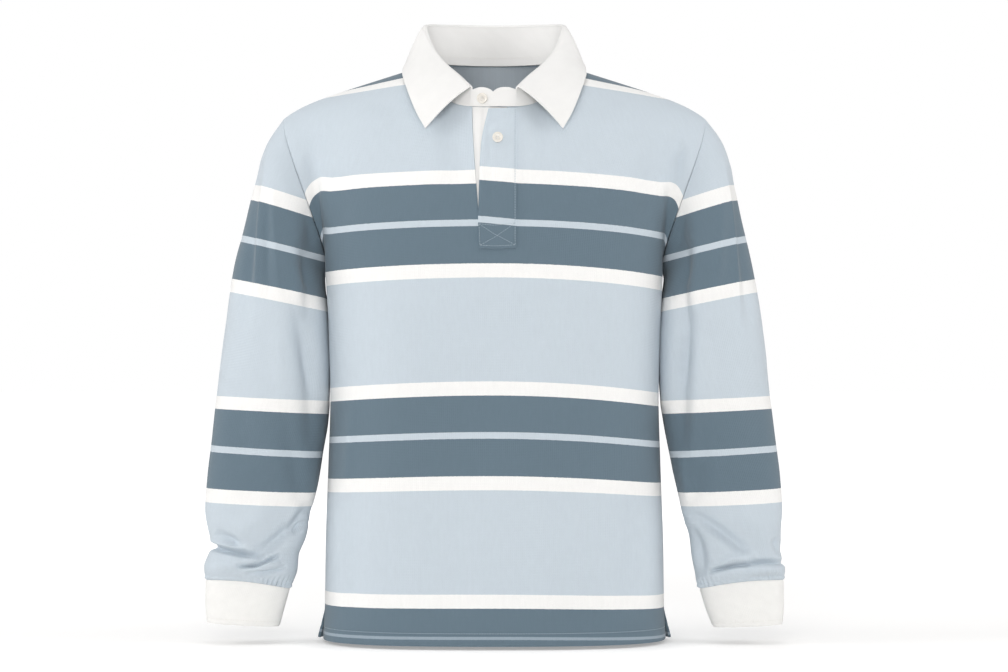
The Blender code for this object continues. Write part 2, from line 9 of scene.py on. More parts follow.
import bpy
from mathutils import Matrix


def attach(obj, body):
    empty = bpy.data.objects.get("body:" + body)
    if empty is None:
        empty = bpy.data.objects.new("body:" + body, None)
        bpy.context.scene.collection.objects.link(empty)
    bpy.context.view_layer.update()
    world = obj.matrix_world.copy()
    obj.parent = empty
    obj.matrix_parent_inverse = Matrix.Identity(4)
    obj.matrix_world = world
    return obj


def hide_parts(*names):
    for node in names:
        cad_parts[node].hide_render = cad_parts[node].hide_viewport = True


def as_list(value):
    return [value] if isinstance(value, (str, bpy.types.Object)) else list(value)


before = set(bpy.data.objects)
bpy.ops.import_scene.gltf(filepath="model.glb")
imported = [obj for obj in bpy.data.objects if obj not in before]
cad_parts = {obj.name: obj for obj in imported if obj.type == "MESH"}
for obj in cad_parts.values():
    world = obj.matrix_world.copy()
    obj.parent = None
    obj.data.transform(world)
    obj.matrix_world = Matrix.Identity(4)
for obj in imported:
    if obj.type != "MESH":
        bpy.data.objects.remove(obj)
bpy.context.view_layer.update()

import functools
import math

import bpy
import numpy as np
from mathutils import Matrix, Vector, noise

bl_info = {
    "name": "Rugby Polo Shirt",
    "version": (1, 0, 0),
    "blender": (4, 5, 0),
    "location": "View3D > Sidebar > Shirt",
    "description": "Makes a striped long-sleeved polo shirt from its cut and its stripes",
    "category": "Object",
}

MM = 0.001

# The form of the shirt, in millimetres

SEAM_GAP = 0.15 * MM
JERSEY_WALL = 1.6 * MM
HEM_WALL = 3.0 * MM
CUFF_WALL = 2.6 * MM
COLLAR_WALL = 2.0 * MM
PLACKET_WALL = 1.8 * MM

# Body below the underarm, a row for each ring. Squareness 1 is an ellipse, less is squarer.
CHEST_HEIGHT = -262
SIDE_SEAM_Y = 4 * MM
RING_COLUMNS = ("height", "half_width", "seam_half_width", "front", "back", "square")
BODY_RINGS = (
    (-736, 217, 217, 111, 116, 0.74),
    (-690, 216, 216, 110, 114, 0.74),
    (-610, 215, 215, 108, 108, 0.73),
    (-520, 212, 212, 106, 101, 0.72),
    (-435, 210.5, 209.5, 106, 97, 0.71),
    (-360, 213, 211.5, 108, 99, 0.71),
    (-300, 215.5, 213, 111, 105, 0.71),
    (CHEST_HEIGHT, 219, 213.5, 112, 109, 0.71),
)
SEAM_PINCH_POWER = 30
RING_SAMPLES = 240
HEM_TOP = -716
HEM_ROWS = (-736, -735.2, -733.5, -731, -728, -725, -722.5, -720.5, -718.5, -717, -715.5, -713, -710)
BODY_ROWS = 108
EDGE_SHARES = (1, 0.9985, 0.996, 0.992, 0.986, 0.978, 0.968)
SHOULDER_COLUMNS = 56
NECK_COLUMNS = 22
SLIT_COLUMNS = 14
CHEST_EASE_ROWS = 7
CHEST_EASE_TIMES = 10
CHEST_EASE_POWER = 10
NECK_EASE_COLUMNS = 12
NECK_EASE_TIMES = 30

# The slits at the foot of the side seams
VENT_TOP = -693 * MM
VENT_LENGTH = 43 * MM
VENT_FLARES = {-1: 2 * MM, 1: 10 * MM}
VENT_SPREAD = 7 * MM
VENT_CURVE = 1.1
VENT_REACH_POWER = 14

# Neck seam and shoulder seams
NECK_SHARE = 0.29
NECK_HALF_WIDTH = 78 * MM
NECK_FRONT = 90 * MM
NECK_BACK = 70 * MM
NECK_FRONT_DROP = 67 * MM
NECK_BACK_RISE = 4 * MM
NECK_SCOOP_POWER = 1.6
SHOULDER_HALF_WIDTH = 270 * MM
SHOULDER_Y = 3 * MM
SHOULDER_SLOPE = 0.315
SHOULDER_END_DROP = 11 * MM
SHOULDER_END_POWER = 8

# Arches over chest and back, a row for each share of the panel from its middle to its armhole
ARCH_COLUMNS = ("share", "low_out", "low_forward", "low_rise", "high_out", "high_forward", "high_drop")
FRONT_ARCHES = (
    (0, 0, 2, 60, 0, 12, 60),
    (0.1, 0, 2, 64, 0, 22, 50),
    (0.2, 0, 3, 85, 3, 50, 38),
    (0.29, 0, 5, 102, 2, 82, 16),
    (0.7, 0, 2, 95, 2, 72, 20),
    (0.86, 0, 12, 90, -1, 66, 24),
    (1, 4, 72, 47, 4, 58, 24),
)
BACK_ARCHES = (
    (0, 0, 4, 90, 0, 28, 50),
    (0.15, 0, 4, 100, 2, 50, 30),
    (0.29, 0, 2, 110, 2, 82, 14),
    (0.7, 0, 2, 100, 2, 72, 22),
    (0.86, 0, 10, 92, -1, 64, 26),
    (1, 4, 66, 47, 4, 56, 24),
)
NOTCH_BOTTOM = 0.105
ARMHOLE_RISES = (0, NOTCH_BOTTOM, 0.2, 0.3, 0.4, 0.5, 0.6, 0.7, 0.8, 0.9, 1)
NOTCH_ROWS = 8
ARCH_ROWS = 52
TOP_STEPS = (0.5, 0.22, 0.08, 0)

# Placket
SLIT_RIGHT_SHARE = -0.061
PLACKET_LEFT_SHARE = 0.1
SLIT_LEFT_SHARE = 0.068
SLACK = 1e-6
NECK_ANGLES = ((-NECK_SHARE, 270), (SLIT_RIGHT_SHARE, 201), (PLACKET_LEFT_SHARE, 158.6), (NECK_SHARE, 90))
SLIT_WIDTH = 47 * MM
SLIT_LENGTH = 170 * MM
SLOPE_STEP = 0.02
FACING_DROP = 1.8 * MM
FACING_CREASE_START = 0.16
FACING_CREASE_SLANT = 0.1
FACING_CREASE_WIDTH = 0.035
FACING_CREASE_DEPTH = 1.1 * MM
BAND_TOP = 0.985
BAND_COLUMNS = ("rise", "free_edge")
BAND_EDGE = (
    (0.09, -0.04),
    (0.2, -0.03),
    (0.5, 0.08),
    (0.75, 0.19),
    (1, 0.39),
)
BAND_ROWS = 90
BAND_ACROSS = 20

# Sleeves, a row for each ring from armhole to cuff
SLEEVE_COLUMNS = ("inner_x", "inner_z", "outer_x", "outer_z", "depth", "forward")
SLEEVES = {
    "right": (
        (212, -262, 273, -80, 62, -3),
        (215, -279, 294, -111, 70, -2),
        (214.2, -298, 308, -160, 74, 0),
        (212, -322, 317.5, -210, 75, 1),
        (210.8, -352, 329, -262, 74, 2),
        (209.5, -386, 339.5, -318, 70, 4),
        (209.6, -422, 348.5, -376, 64, 6),
        (212, -459, 355, -432, 57, 9),
        (218, -499, 359.5, -484, 50, 13),
        (224, -539, 364.5, -530, 44, 16),
        (232.5, -576, 367, -570, 39, 19),
        (239, -607, 362.5, -598, 36, 20),
        (248, -630, 358, -615, 32, 21),
        (249.5, -648, 367.5, -643, 36, 22),
        (259, -671, 365.5, -660, 27, 22),
    ),
    "left": (
        (212, -262, 273, -80, 62, -3),
        (215, -279, 295, -111, 70, -2),
        (213.4, -298, 309, -160, 74, 0),
        (211, -322, 318, -210, 75, 1),
        (209.4, -352, 328.5, -262, 74, 2),
        (209.2, -386, 338.5, -318, 70, 4),
        (210, -422, 346.5, -376, 64, 6),
        (214.5, -459, 352.5, -432, 57, 9),
        (221.5, -499, 357.5, -484, 50, 13),
        (230, -539, 363, -530, 44, 16),
        (238, -576, 365.5, -570, 39, 19),
        (246, -607, 363.5, -601, 36, 20),
        (249.5, -632, 363.5, -626, 32, 21),
        (254, -652, 368.5, -646, 34, 22),
        (260, -671, 367, -660, 27, 22),
    ),
}
CUFFS = {
    "right": (
        (259, -671, 365.5, -660, 27, 22),
        (266, -696, 366, -688, 25, 22),
        (272, -719, 364.5, -714, 24, 22),
    ),
    "left": (
        (260, -671, 367, -660, 27, 22),
        (268, -697, 367, -689, 25, 22),
        (277, -720, 365.5, -716, 24, 22),
    ),
}
SLEEVE_SQUARE = 0.88
ARMHOLE_BLEND = (1, 0.5, 0.22, 0.08, 0)
SEAM_LEAN = (0.956, 0, -0.293)
TUBE_COLUMNS = 226
SLEEVE_ROWS = 108
BUNCHED_RINGS = 4
BUNCHED_ROWS = 78
CUFF_PLACES = (0, 0.02, 0.05, 0.09, *np.linspace(0.13, 1.93, 34), 1.96, 1.985, 2)
ARMHOLE_PLACES = (0, 0.03, 0.07, 0.12, 0.18, 0.26, 0.35, 0.45, 0.56, 0.68, 0.8, 0.92)

# Collar, a row for each section round the neck, 0 at the centre back
COLLAR_COLUMNS = ("angle", "roll_x", "roll_y", "roll_z", "edge_x", "edge_y", "edge_z")
LEAF_END_ANGLE = 157.4
COLLAR_SECTIONS = (
    (0, 0, 76, 55, 0, 92, -15),
    (22, 33, 72, 55, 44, 83, -15),
    (45, 65, 55, 53, 86, 60, -15),
    (70, 86, 28, 49.5, 108, 30, -9),
    (90, 90, 5, 43, 117, -4, -7),
    (105, 81.5, -18, 18, 117, -32, -17),
    (125, 63, -45, -9, 109, -65, -44),
    (145, 43, -68, -29, 97, -84, -74),
    (LEAF_END_ANGLE, 30, -85, -44, 86, -92, -94),
)
ROLL_RADIUS = 4 * MM
ROLL_GAP = 0.15 * MM
ROLL_UPWARD = 20 * MM
ROLL_STEPS = 10
LEAF_STEPS = 30
LEAF_BULGES = ((0, 6), (60, 4), (95, 1.5), (130, 5), (180, 6))
LEAF_HANDLE = 0.35
STAND_RIGHT_END = -183
STAND_LEFT_END = 184.8
STAND_END_HEIGHT = 24 * MM
STAND_DIP = 4 * MM
STAND_DIP_ANGLE = 9
STAND_CORNER = 19 * MM
STAND_LAP = 2.7 * MM
STAND_LAP_START = 140
STAND_STEPS = 12
SIDE_STEP = 2
COLLAR_STEP = 1.6

# Buttons
BUTTON_RADIUS = 6.6 * MM
BUTTON_THICKNESS = 3 * MM
BUTTON_LIFT = 0.5 * MM
HOLE_RING = 1.9 * MM
NECK_BUTTON_ANGLE = -169.2
NECK_BUTTON_HEIGHT = 10 * MM
BAND_BUTTON_RISE = 0.78
BAND_BUTTON_ACROSS = 0.58

SIDES = {"right": -1, "left": 1}

# Where the stripes lie. On the body the cloth's own height is measured up each column from
# the hem, and it droops towards the sides. The rows are in millimetres.
DROOP_COLUMNS = ("up", "right", "left")
STRIPE_DROOP = (
    (0, 1, 4),
    (64, 1.6, 5),
    (327, 7.5, 13),
    (590, 6, 10.5),
    (690, 8, 12),
    (740, 14, 16),
)
DROOP_HALF_WIDTH = 197 * MM
DROOP_REACH = 1.3
SHOULDER_UP = (600 * MM, 680 * MM)
STRIPE_RAGGEDNESS = 0.7 * MM
BAND_STRIPE_RISE = 4.4 * MM
# Beside the armholes the cloth turns back at a crease, and its stripes stay level up to it:
# the places across where that starts and ends, and how far the stripes lift there
CREASE_LIFTS = {"right": (204 * MM, 220 * MM, 3 * MM), "left": (208 * MM, 232 * MM, 6 * MM)}
DROOP_POWER = 2

# On the sleeves it is read at the sleeve's middle, and the stripes fall towards the body
SLEEVE_MIDDLE = 280 * MM
SLEEVE_STRIPE_COLUMNS = ("z", "up", "slope")
SLEEVE_STRIPES = (
    (-740, 20, 0.02),
    (-658, 98.6, 0.03),
    (-565.6, 192.1, 0.043),
    (-548, 209.6, 0.043),
    (-498.9, 259.9, 0.058),
    (-447.1, 309.6, 0.048),
    (-430.8, 326.9, 0.045),
    (-308, 454.6, 0.204),
    (-291, 472, 0.206),
    (-238.6, 523, 0.244),
    (-187.5, 572.6, 0.3),
    (-166.8, 590, 0.315),
    (-80, 672, 0.32),
    (0, 712, 0.32),
)

# Folds, in millimetres in the front view: where each runs, how far its middle bows aside,
# its width and its height, which is negative for a trough. A sharp one has 1 at its end.
FOLD_COLUMNS = ("start_x", "start_z", "end_x", "end_z", "bow", "width", "height")
FRONT_FOLDS = (
    (-175, -430, -188, -560, 0, 8, 2.4),
    (-182, -530, -176, -700, 0, 15, -4),
    (-196, -560, -190, -700, 0, 12, 2.5),
    (-120, -300, -150, -620, 6, 34, 2.5),
    (60, -330, 96, -700, -6, 44, 3),
    (-40, -380, -64, -700, 5, 40, -2.6),
    (182, -520, 170, -700, 0, 16, -4),
    (198, -560, 192, -700, 0, 12, 2.5),
    (217, -275, 236, -118, 0, 7, -7),
    (226, -150, 240, -104, 0, 6, -3.5),
    (-219, -275, -236, -120, 0, 7, -7),
    (227, -130, 214, -320, 0, 6, 4.4, 1),
    (-218, -130, -212, -330, 0, 6, 4.4, 1),
    (150, -60, 196, -150, -8, 26, 3),
    (-150, -60, -196, -150, 8, 26, 3),
    (-96, -60, -60, -150, 6, 16, 1.4),
    (100, -70, 64, -150, -6, 16, 1.8),
    (-216, -90, -190, -230, 8, 16, -2.4),
    (216, -90, 190, -230, -8, 16, -2.4),
)
BAND_FOLDS = (
    (-12, -94, 20, -72, -3, 5, -1.6),
    (12, -84, 46, -66, -2, 6, -1.4),
    (-4, -104, 6, -84, 0, 5, 0.9),
)
BACK_FOLDS = (
    (-120, -110, -150, -330, 8, 30, 3.2),
    (126, -120, 150, -340, -8, 32, 3.4),
    (-206, -180, -110, -300, 10, 13, -6.4),
    (206, -186, 106, -290, -12, 12, -6.6),
    (-60, -330, -90, -660, 7, 30, -4.6),
    (40, -360, 60, -710, -6, 38, 3.2),
    (130, -420, 120, -710, 6, 24, -4.6),
    (-150, -470, -140, -715, 5, 26, 3.2),
    (-190, -430, -60, -456, -14, 14, -4.6),
    (196, -446, 70, -474, 12, 13, -4.4),
    (-30, -120, -44, -330, 6, 30, -2.4),
    (208, -268, 226, -130, 0, 8, -5),
    (-208, -268, -226, -130, 0, 8, -5),
)
SLEEVE_FOLDS = {
    ("right", "front"): (
        (228, -190, 228, -340, 0, 11, -7),
        (227, -290, 231, -510, 0, 11, -5),
        (287, -120, 299, -320, 1, 6, 4.2, 1),
        (281, -150, 267, -310, 0, 7, 3.6, 1),
        (299, -130, 312, -340, 0, 7, -5),
        (283, -160, 283, -310, 0, 5, -2),
        (322, -230, 330, -330, 0, 10, 2),
        (244, -230, 216, -300, 4, 10, -4),
        (248, -300, 217, -440, 4, 12, -8),
        (268, -320, 248, -500, 4, 14, 3.5),
        (262, -430, 240, -570, 3, 12, -4.5),
        (330, -400, 318, -520, -4, 20, -3),
        (230, -566, 300, -628, -4, 8, -9),
        (282, -560, 330, -602, -6, 14, 3),
        (352, -600, 312, -626, -4, 6, -6),
        (374, -613, 288, -630, 1, 3.6, -10),
        (364, -608, 300, -619, 3, 5, 4),
        (324, -641, 268, -627, 4, 2.8, -9.5),
        (312, -632, 268, -636, 3, 4, 4),
        (352, -636, 318, -638, 3, 5, 2.6),
        (312, -651, 260, -641, 3, 3.4, -5),
        (234, -586, 252, -602, 1, 3, -5),
        (246, -560, 262, -612, 2, 6, 2.6),
    ),
    ("left", "front"): (
        (231, -190, 232, -350, 0, 13, -9),
        (230, -290, 236, -520, 0, 13, -8),
        (292, -130, 309, -330, 0, 6, 4.2, 1),
        (288, -160, 276, -320, 0, 8, 3.2),
        (304, -140, 322, -350, 0, 8, -5),
        (246, -230, 216, -300, 4, 10, -4),
        (244, -310, 220, -440, 4, 12, -7),
        (262, -360, 244, -510, 4, 14, 3.5),
        (336, -380, 322, -520, 4, 20, -3),
        (232, -500, 243, -560, 2, 5, 3),
        (262, -450, 248, -570, 3, 14, -4.5),
        (242, -574, 324, -632, 4, 8, -9),
        (300, -574, 350, -612, 6, 14, 3),
        (246, -590, 262, -656, 3, 8, -7),
        (268, -650, 322, -638, 3, 2.8, -9.5),
        (308, -641, 372, -640, 5, 3, -7),
        (284, -639, 332, -628, 3, 5, 4),
        (316, -649, 362, -648, 3, 5, 4),
        (352, -606, 362, -628, 0, 5, -4),
    ),
    ("right", "back"): (
        (248, -330, 222, -450, 4, 12, -6),
        (316, -160, 322, -360, 0, 14, 3),
        (286, -240, 262, -420, 6, 16, -3.6),
        (340, -420, 330, -570, 3, 14, 3),
        (236, -560, 312, -626, -4, 9, -7.5),
        (376, -612, 276, -626, 6, 4.5, -9),
        (350, -636, 290, -632, -5, 3.2, -8),
        (306, -647, 262, -640, 4, 3, -8),
        (344, -645, 300, -652, 3, 6, 2.6),
    ),
    ("left", "back"): (
        (250, -320, 224, -440, 4, 13, -6),
        (312, -160, 320, -350, 0, 14, 3),
        (290, -250, 266, -430, 6, 15, -3.6),
        (338, -430, 332, -560, 3, 15, 3),
        (246, -566, 318, -622, 4, 9, -7.5),
        (356, -592, 286, -616, 6, 7, -6),
        (372, -640, 298, -632, -4, 3.2, -7),
        (304, -650, 266, -644, 4, 3, -8),
        (352, -648, 306, -654, 3, 6, 2.6),
    ),
}
# Inside the neck the back is faced with plain light cloth, taken from the light band
LINING_BOTTOM = -100 * MM
LINING_SHARE = 0.62
LINING_HEIGHT = 640 * MM
CUFF_BOW = 4.5 * MM
CUFF_BOW_REACH = 1.6
# Folds fade out beside seams, round the placket and inside the upper arms
SIDE_CALM = 45 * MM
TOP_CALM = 20 * MM
PLACKET_MIDDLE = 6 * MM
PLACKET_CALM = (36 * MM, 70 * MM)
BELOW_PLACKET = (-262 * MM, -330 * MM)
ARMHOLE_CALM = 22 * MM
CUFF_CALM = 5 * MM
UNDERARM_CALM = (6 * MM, 34 * MM)
FOREARM = (-430 * MM, -480 * MM)
UNEVEN_SCALE = 14
UNEVEN_HEIGHT = 1.1 * MM
CUFF_UNEVEN_HEIGHT = 0.9 * MM
UNEVEN_SEEDS = {"panel": 3.7, "sleeve": 5.1, "cuff": 9.3}
GROOVE_WIDTH = 1.8 * MM
EDGE_GROOVES = {"hem": 0.5 * MM, "cuff": 0.9 * MM, "band": 0.55 * MM, "band_end": 0.4 * MM}
GATHER_REACH = 11 * MM
GATHER_COUNT = 46
RIDGE_PLACE = 2.6 * MM
RIDGE_WIDTH = 2 * MM
RIDGE_HEIGHT = 0.8 * MM

# Sewing: samples along a row, and the top of the stitched box at the placket's foot
ROW_SAMPLES = 500
BOX_TOP = 0.242

# Camera and lights
LIGHT_AIM = (0, 0, -0.38)
LENS = 83.7
SENSOR_WIDTH = 36
CAMERA_PLACE = (0.0122, -3.0, -0.407)
CAMERA_TILT = 1.07
FLOOR_HEIGHT = -0.7405
FLOOR_RADIUS = 60


def linear(code):
    """Linear red, green and blue of an sRGB hex code."""
    levels = [int(code[n : n + 2], 16) / 255 for n in (1, 3, 5)]
    return tuple(c / 12.92 if c <= 0.04045 else ((c + 0.055) / 1.055) ** 2.4 for c in levels)


def interpolate(knots, values, at, level_start=False):
    """Smooth values between knots that never overshoot their neighbours."""
    knots, values, at = (np.asarray(a, float) for a in (knots, values, at))
    widths = np.diff(knots)
    slopes = np.diff(values) / widths
    both = slopes[:-1] * slopes[1:]
    total = np.where(both > 0, slopes[:-1] + slopes[1:], 1)
    middle = np.where(both > 0, 2 * both / total, 0)
    tangents = np.concatenate(([0 if level_start else slopes[0]], middle, [slopes[-1]]))
    i = np.clip(np.searchsorted(knots, at, side="right") - 1, 0, len(widths) - 1)
    width = widths[i]
    t = (at - knots[i]) / width
    bends = tangents[i] * t * (1 - t) ** 2 - tangents[i + 1] * t * t * (1 - t)
    return values[i] + (values[i + 1] - values[i]) * t * t * (3 - 2 * t) + bends * width


def read_table(rows, columns, at, level_start=()):
    """Values of a table at any values of its first column, by column name."""
    knots = [row[0] for row in rows]
    return {
        name: interpolate(knots, [row[n] for row in rows], at, name in level_start)
        for n, name in enumerate(columns)
    }


def as_points(x, y, z):
    """Points from their three coordinates."""
    return np.stack(np.broadcast_arrays(x, y, z), axis=-1).astype(float)


def unit(vectors):
    """Vectors of length 1."""
    return vectors / np.maximum(np.linalg.norm(vectors, axis=-1, keepdims=True), 1e-12)


def bezier(start, low, high, end, t):
    """Points of curves with two ends and two handles."""
    return start * (1 - t) ** 3 + low * 3 * t * (1 - t) ** 2 + high * 3 * t * t * (1 - t) + end * t**3


def smooth_step(low, high, value):
    """0 below low, 1 above high, with a soft rise between."""
    t = np.clip((value - low) / (high - low), 0, 1)
    return t * t * (3 - 2 * t)


def lengths_along(points, axis):
    """Distance along a grid's rows or columns, from their first point."""
    steps = np.linalg.norm(np.diff(points, axis=axis), axis=-1)
    start = np.zeros_like(np.take(steps, [0], axis=axis))
    return np.concatenate([start, np.cumsum(steps, axis=axis)], axis=axis)


def body_surface(heights, shares, facing):
    """The body below the underarm, a row for each height and a column for each share."""
    row = read_table(BODY_RINGS, RING_COLUMNS, heights)
    row = {name: values[:, None] for name, values in row.items()}
    depth = row["front"] if facing < 0 else row["back"]
    turn = np.linspace(0, math.pi / 2, RING_SAMPLES + 1)
    across = row["half_width"] * np.sin(turn) ** row["square"]
    across -= (row["half_width"] - row["seam_half_width"]) * np.sin(turn) ** SEAM_PINCH_POWER
    away = facing * depth * np.clip(np.cos(turn), 0, None) ** row["square"]
    lengths = lengths_along(np.stack([across, away], axis=-1), 1)
    surface = np.zeros((len(heights), len(shares), 3))
    for n, height in enumerate(heights):
        wanted = np.abs(shares) * lengths[n, -1]
        surface[n, :, 0] = np.sign(shares) * np.interp(wanted, lengths[n], across[n])
        surface[n, :, 1] = np.interp(wanted, lengths[n], away[n])
        surface[n, :, 2] = height
    return surface * MM + (0, SIDE_SEAM_Y, 0)


def neck_points(angles):
    """Points of the neck seam, 0 at the centre back, 90 at the left shoulder seam."""
    across = np.sin(np.radians(angles))
    along = np.cos(np.radians(angles))
    drop = NECK_FRONT_DROP * (1 - np.clip(1 + along, 0, None) ** NECK_SCOOP_POWER)
    depth = np.where(along >= 0, NECK_BACK, NECK_FRONT)
    height = np.where(along >= 0, along * NECK_BACK_RISE, -drop)
    return as_points(across * NECK_HALF_WIDTH, along * depth, height)


def top_points(shares, facing):
    """Tops of columns: on the neck seam or, further out, on the shoulder seam."""
    side = np.sign(shares)
    if facing > 0:
        angles = 90 * shares / NECK_SHARE
    else:
        knots, turns = zip(*NECK_ANGLES)
        angles = interpolate(knots, turns, np.clip(shares, -NECK_SHARE, NECK_SHARE))
    out = np.clip((np.abs(shares) - NECK_SHARE) / (1 - NECK_SHARE), 0, 1)
    across = out * (SHOULDER_HALF_WIDTH - NECK_HALF_WIDTH)
    drop = SHOULDER_SLOPE * across + SHOULDER_END_DROP * out**SHOULDER_END_POWER
    shoulder = as_points(side * (NECK_HALF_WIDTH + across), SHOULDER_Y * out, -drop)
    return np.where((np.abs(shares) < NECK_SHARE)[..., None], neck_points(angles), shoulder)


def arch(shares, rises, facing):
    """Points over chest or back, for shares and rises that go together."""
    shares, rises = np.broadcast_arrays(np.asarray(shares, float), np.asarray(rises, float))
    start = body_surface(np.array([CHEST_HEIGHT]), shares.ravel(), facing)[0].reshape(*shares.shape, 3)
    end = top_points(shares, facing)
    row = read_table(FRONT_ARCHES if facing < 0 else BACK_ARCHES, ARCH_COLUMNS, np.abs(shares))
    side = np.sign(shares)
    low = start + MM * as_points(side * row["low_out"], facing * row["low_forward"], row["low_rise"])
    high = end + MM * as_points(side * row["high_out"], facing * row["high_forward"], -row["high_drop"])
    return bezier(start, low, high, end, rises[..., None])


def open_vents(surface, shares, facing):
    """Flare the hem's corners, where the side seams are left open."""
    depth = np.clip(VENT_TOP - surface[..., 2], 0, None) / VENT_LENGTH
    reach = depth**VENT_CURVE * np.abs(shares) ** VENT_REACH_POWER
    return surface + as_points(np.sign(shares) * VENT_FLARES[facing] * reach, facing * VENT_SPREAD * reach, 0)


def ease_chest(surface, chest_row, shares):
    """Take the slight corner out of the columns where rings and arches meet."""
    share = 1 - np.abs(shares) ** CHEST_EASE_POWER
    first, last = chest_row - CHEST_EASE_ROWS, chest_row + CHEST_EASE_ROWS + 1
    for _ in range(CHEST_EASE_TIMES):
        eased = (surface[first - 1 : last - 1] + 2 * surface[first:last] + surface[first + 1 : last + 1]) / 4
        surface[first:last] += (eased - surface[first:last]) * share[:, None]
    return surface


def ease_columns(surface, shares, rises):
    """Take out the slight corner that runs down from each end of the neck."""
    rows = surface.shape[0] - len(rises)
    share = np.concatenate([np.ones(rows), smooth_step(0.97, 0.7, rises)])[:, None, None]
    for place in (-NECK_SHARE, NECK_SHARE):
        column = int(np.argmin(np.abs(shares - place)))
        first, last = column - NECK_EASE_COLUMNS, column + NECK_EASE_COLUMNS + 1
        for _ in range(NECK_EASE_TIMES):
            beside = surface[:, first - 1 : last - 1] + surface[:, first + 1 : last + 1]
            surface[:, first:last] += (beside / 2 - surface[:, first:last]) * share / 2
    return surface


def normals_of(points, closed=False):
    """Normals of a grid, pointing away from its own middle line."""
    if closed:
        breadth = np.roll(points, -1, axis=1) - np.roll(points, 1, axis=1)
    else:
        breadth = np.gradient(points, axis=1)
    normals = unit(np.cross(breadth, np.gradient(points, axis=0)))
    middle = points.mean(axis=(0, 1)) if not closed else points.mean(axis=1, keepdims=True)
    if not closed:
        middle[1] = 0
    return normals if (normals * (points - middle)).sum() > 0 else -normals


def uneven(points, seed):
    """The slight unevenness of hanging cloth, from -1 to 1."""
    shift = Vector((seed, seed * 2, -seed))
    flat = points.reshape(-1, 3) * UNEVEN_SCALE * (1, 1, 0.55)
    values = [noise.noise(Vector(p) + shift) for p in flat.tolist()]
    return np.array(values).reshape(points.shape[:-1])


def fold_relief(x, z, folds):
    """Heights of folds at places in the front view."""
    relief = np.zeros_like(x)
    for row in folds:
        fold = {name: value * MM for name, value in zip(FOLD_COLUMNS, row)}
        run = np.array((fold["end_x"] - fold["start_x"], fold["end_z"] - fold["start_z"]))
        long = np.linalg.norm(run)
        run /= long
        dx, dz = x - fold["start_x"], z - fold["start_z"]
        t = (dx * run[0] + dz * run[1]) / long
        hump = np.clip(4 * t * (1 - t), 0, 1)
        off = dx * -run[1] + dz * run[0] - fold["bow"] * hump
        off = np.abs(off) / fold["width"]
        sharp = len(row) > len(FOLD_COLUMNS)
        relief += fold["height"] * hump**0.8 * np.exp(-off if sharp else -(off**2))
    return relief


def groove(distance, depth):
    """The small sink of cloth that is sewn down, at a distance from its seam."""
    return -depth * np.exp(-((distance / GROOVE_WIDTH) ** 2))


def panel_shares():
    """Columns of the front and back, closer at their edges, with one at each stop."""
    left = np.linspace(0.956, NECK_SHARE, SHOULDER_COLUMNS)
    middle = np.linspace(NECK_SHARE, SLIT_LEFT_SHARE, NECK_COLUMNS)[1:]
    slit = np.linspace(SLIT_LEFT_SHARE, SLIT_RIGHT_SHARE, SLIT_COLUMNS)[1:-1]
    right = np.linspace(-SLIT_RIGHT_SHARE, NECK_SHARE, NECK_COLUMNS)[:-1]
    left_half = np.concatenate([EDGE_SHARES, left, middle])
    right_half = np.concatenate([right, left[::-1], EDGE_SHARES[::-1]])
    return np.concatenate([-right_half[::-1], slit[::-1], left_half[::-1]])


def panel_rises():
    """Rows over chest and back, with one at the foot of the slit."""
    low = np.linspace(0, NOTCH_BOTTOM, NOTCH_ROWS)[:-1]
    high = np.linspace(NOTCH_BOTTOM, 1, ARCH_ROWS)[:-1]
    top = [1 - (1 - high[-1]) * step for step in TOP_STEPS]
    return np.concatenate([low, high, top])


class Sheet:
    """A cloth as a grid of points with normals and its own coordinates, across and up."""

    def __init__(self, points, normals, across, up):
        self.points = points
        self.normals = normals
        self.across = across
        self.up = up
        self.weave = (across, up)

    def walls(self, thickness):
        """Outer and inner points of a wall of cloth."""
        return self.points, self.points - self.normals * thickness


def wrap(grid):
    """A tube's grid with its first column again at its end."""
    return np.concatenate([grid, grid[:, :1]], axis=1)


def sample(grid, rows, columns):
    """Values of a grid between its rows and columns."""
    i = np.clip(np.floor(rows).astype(int), 0, grid.shape[0] - 2)
    j = np.clip(np.floor(columns).astype(int), 0, grid.shape[1] - 2)
    a, b = rows - i, columns - j
    if grid.ndim == 3:
        a, b = a[..., None], b[..., None]
    low = grid[i, j] * (1 - b) + grid[i, j + 1] * b
    high = grid[i + 1, j] * (1 - b) + grid[i + 1, j + 1] * b
    return low * (1 - a) + high * a


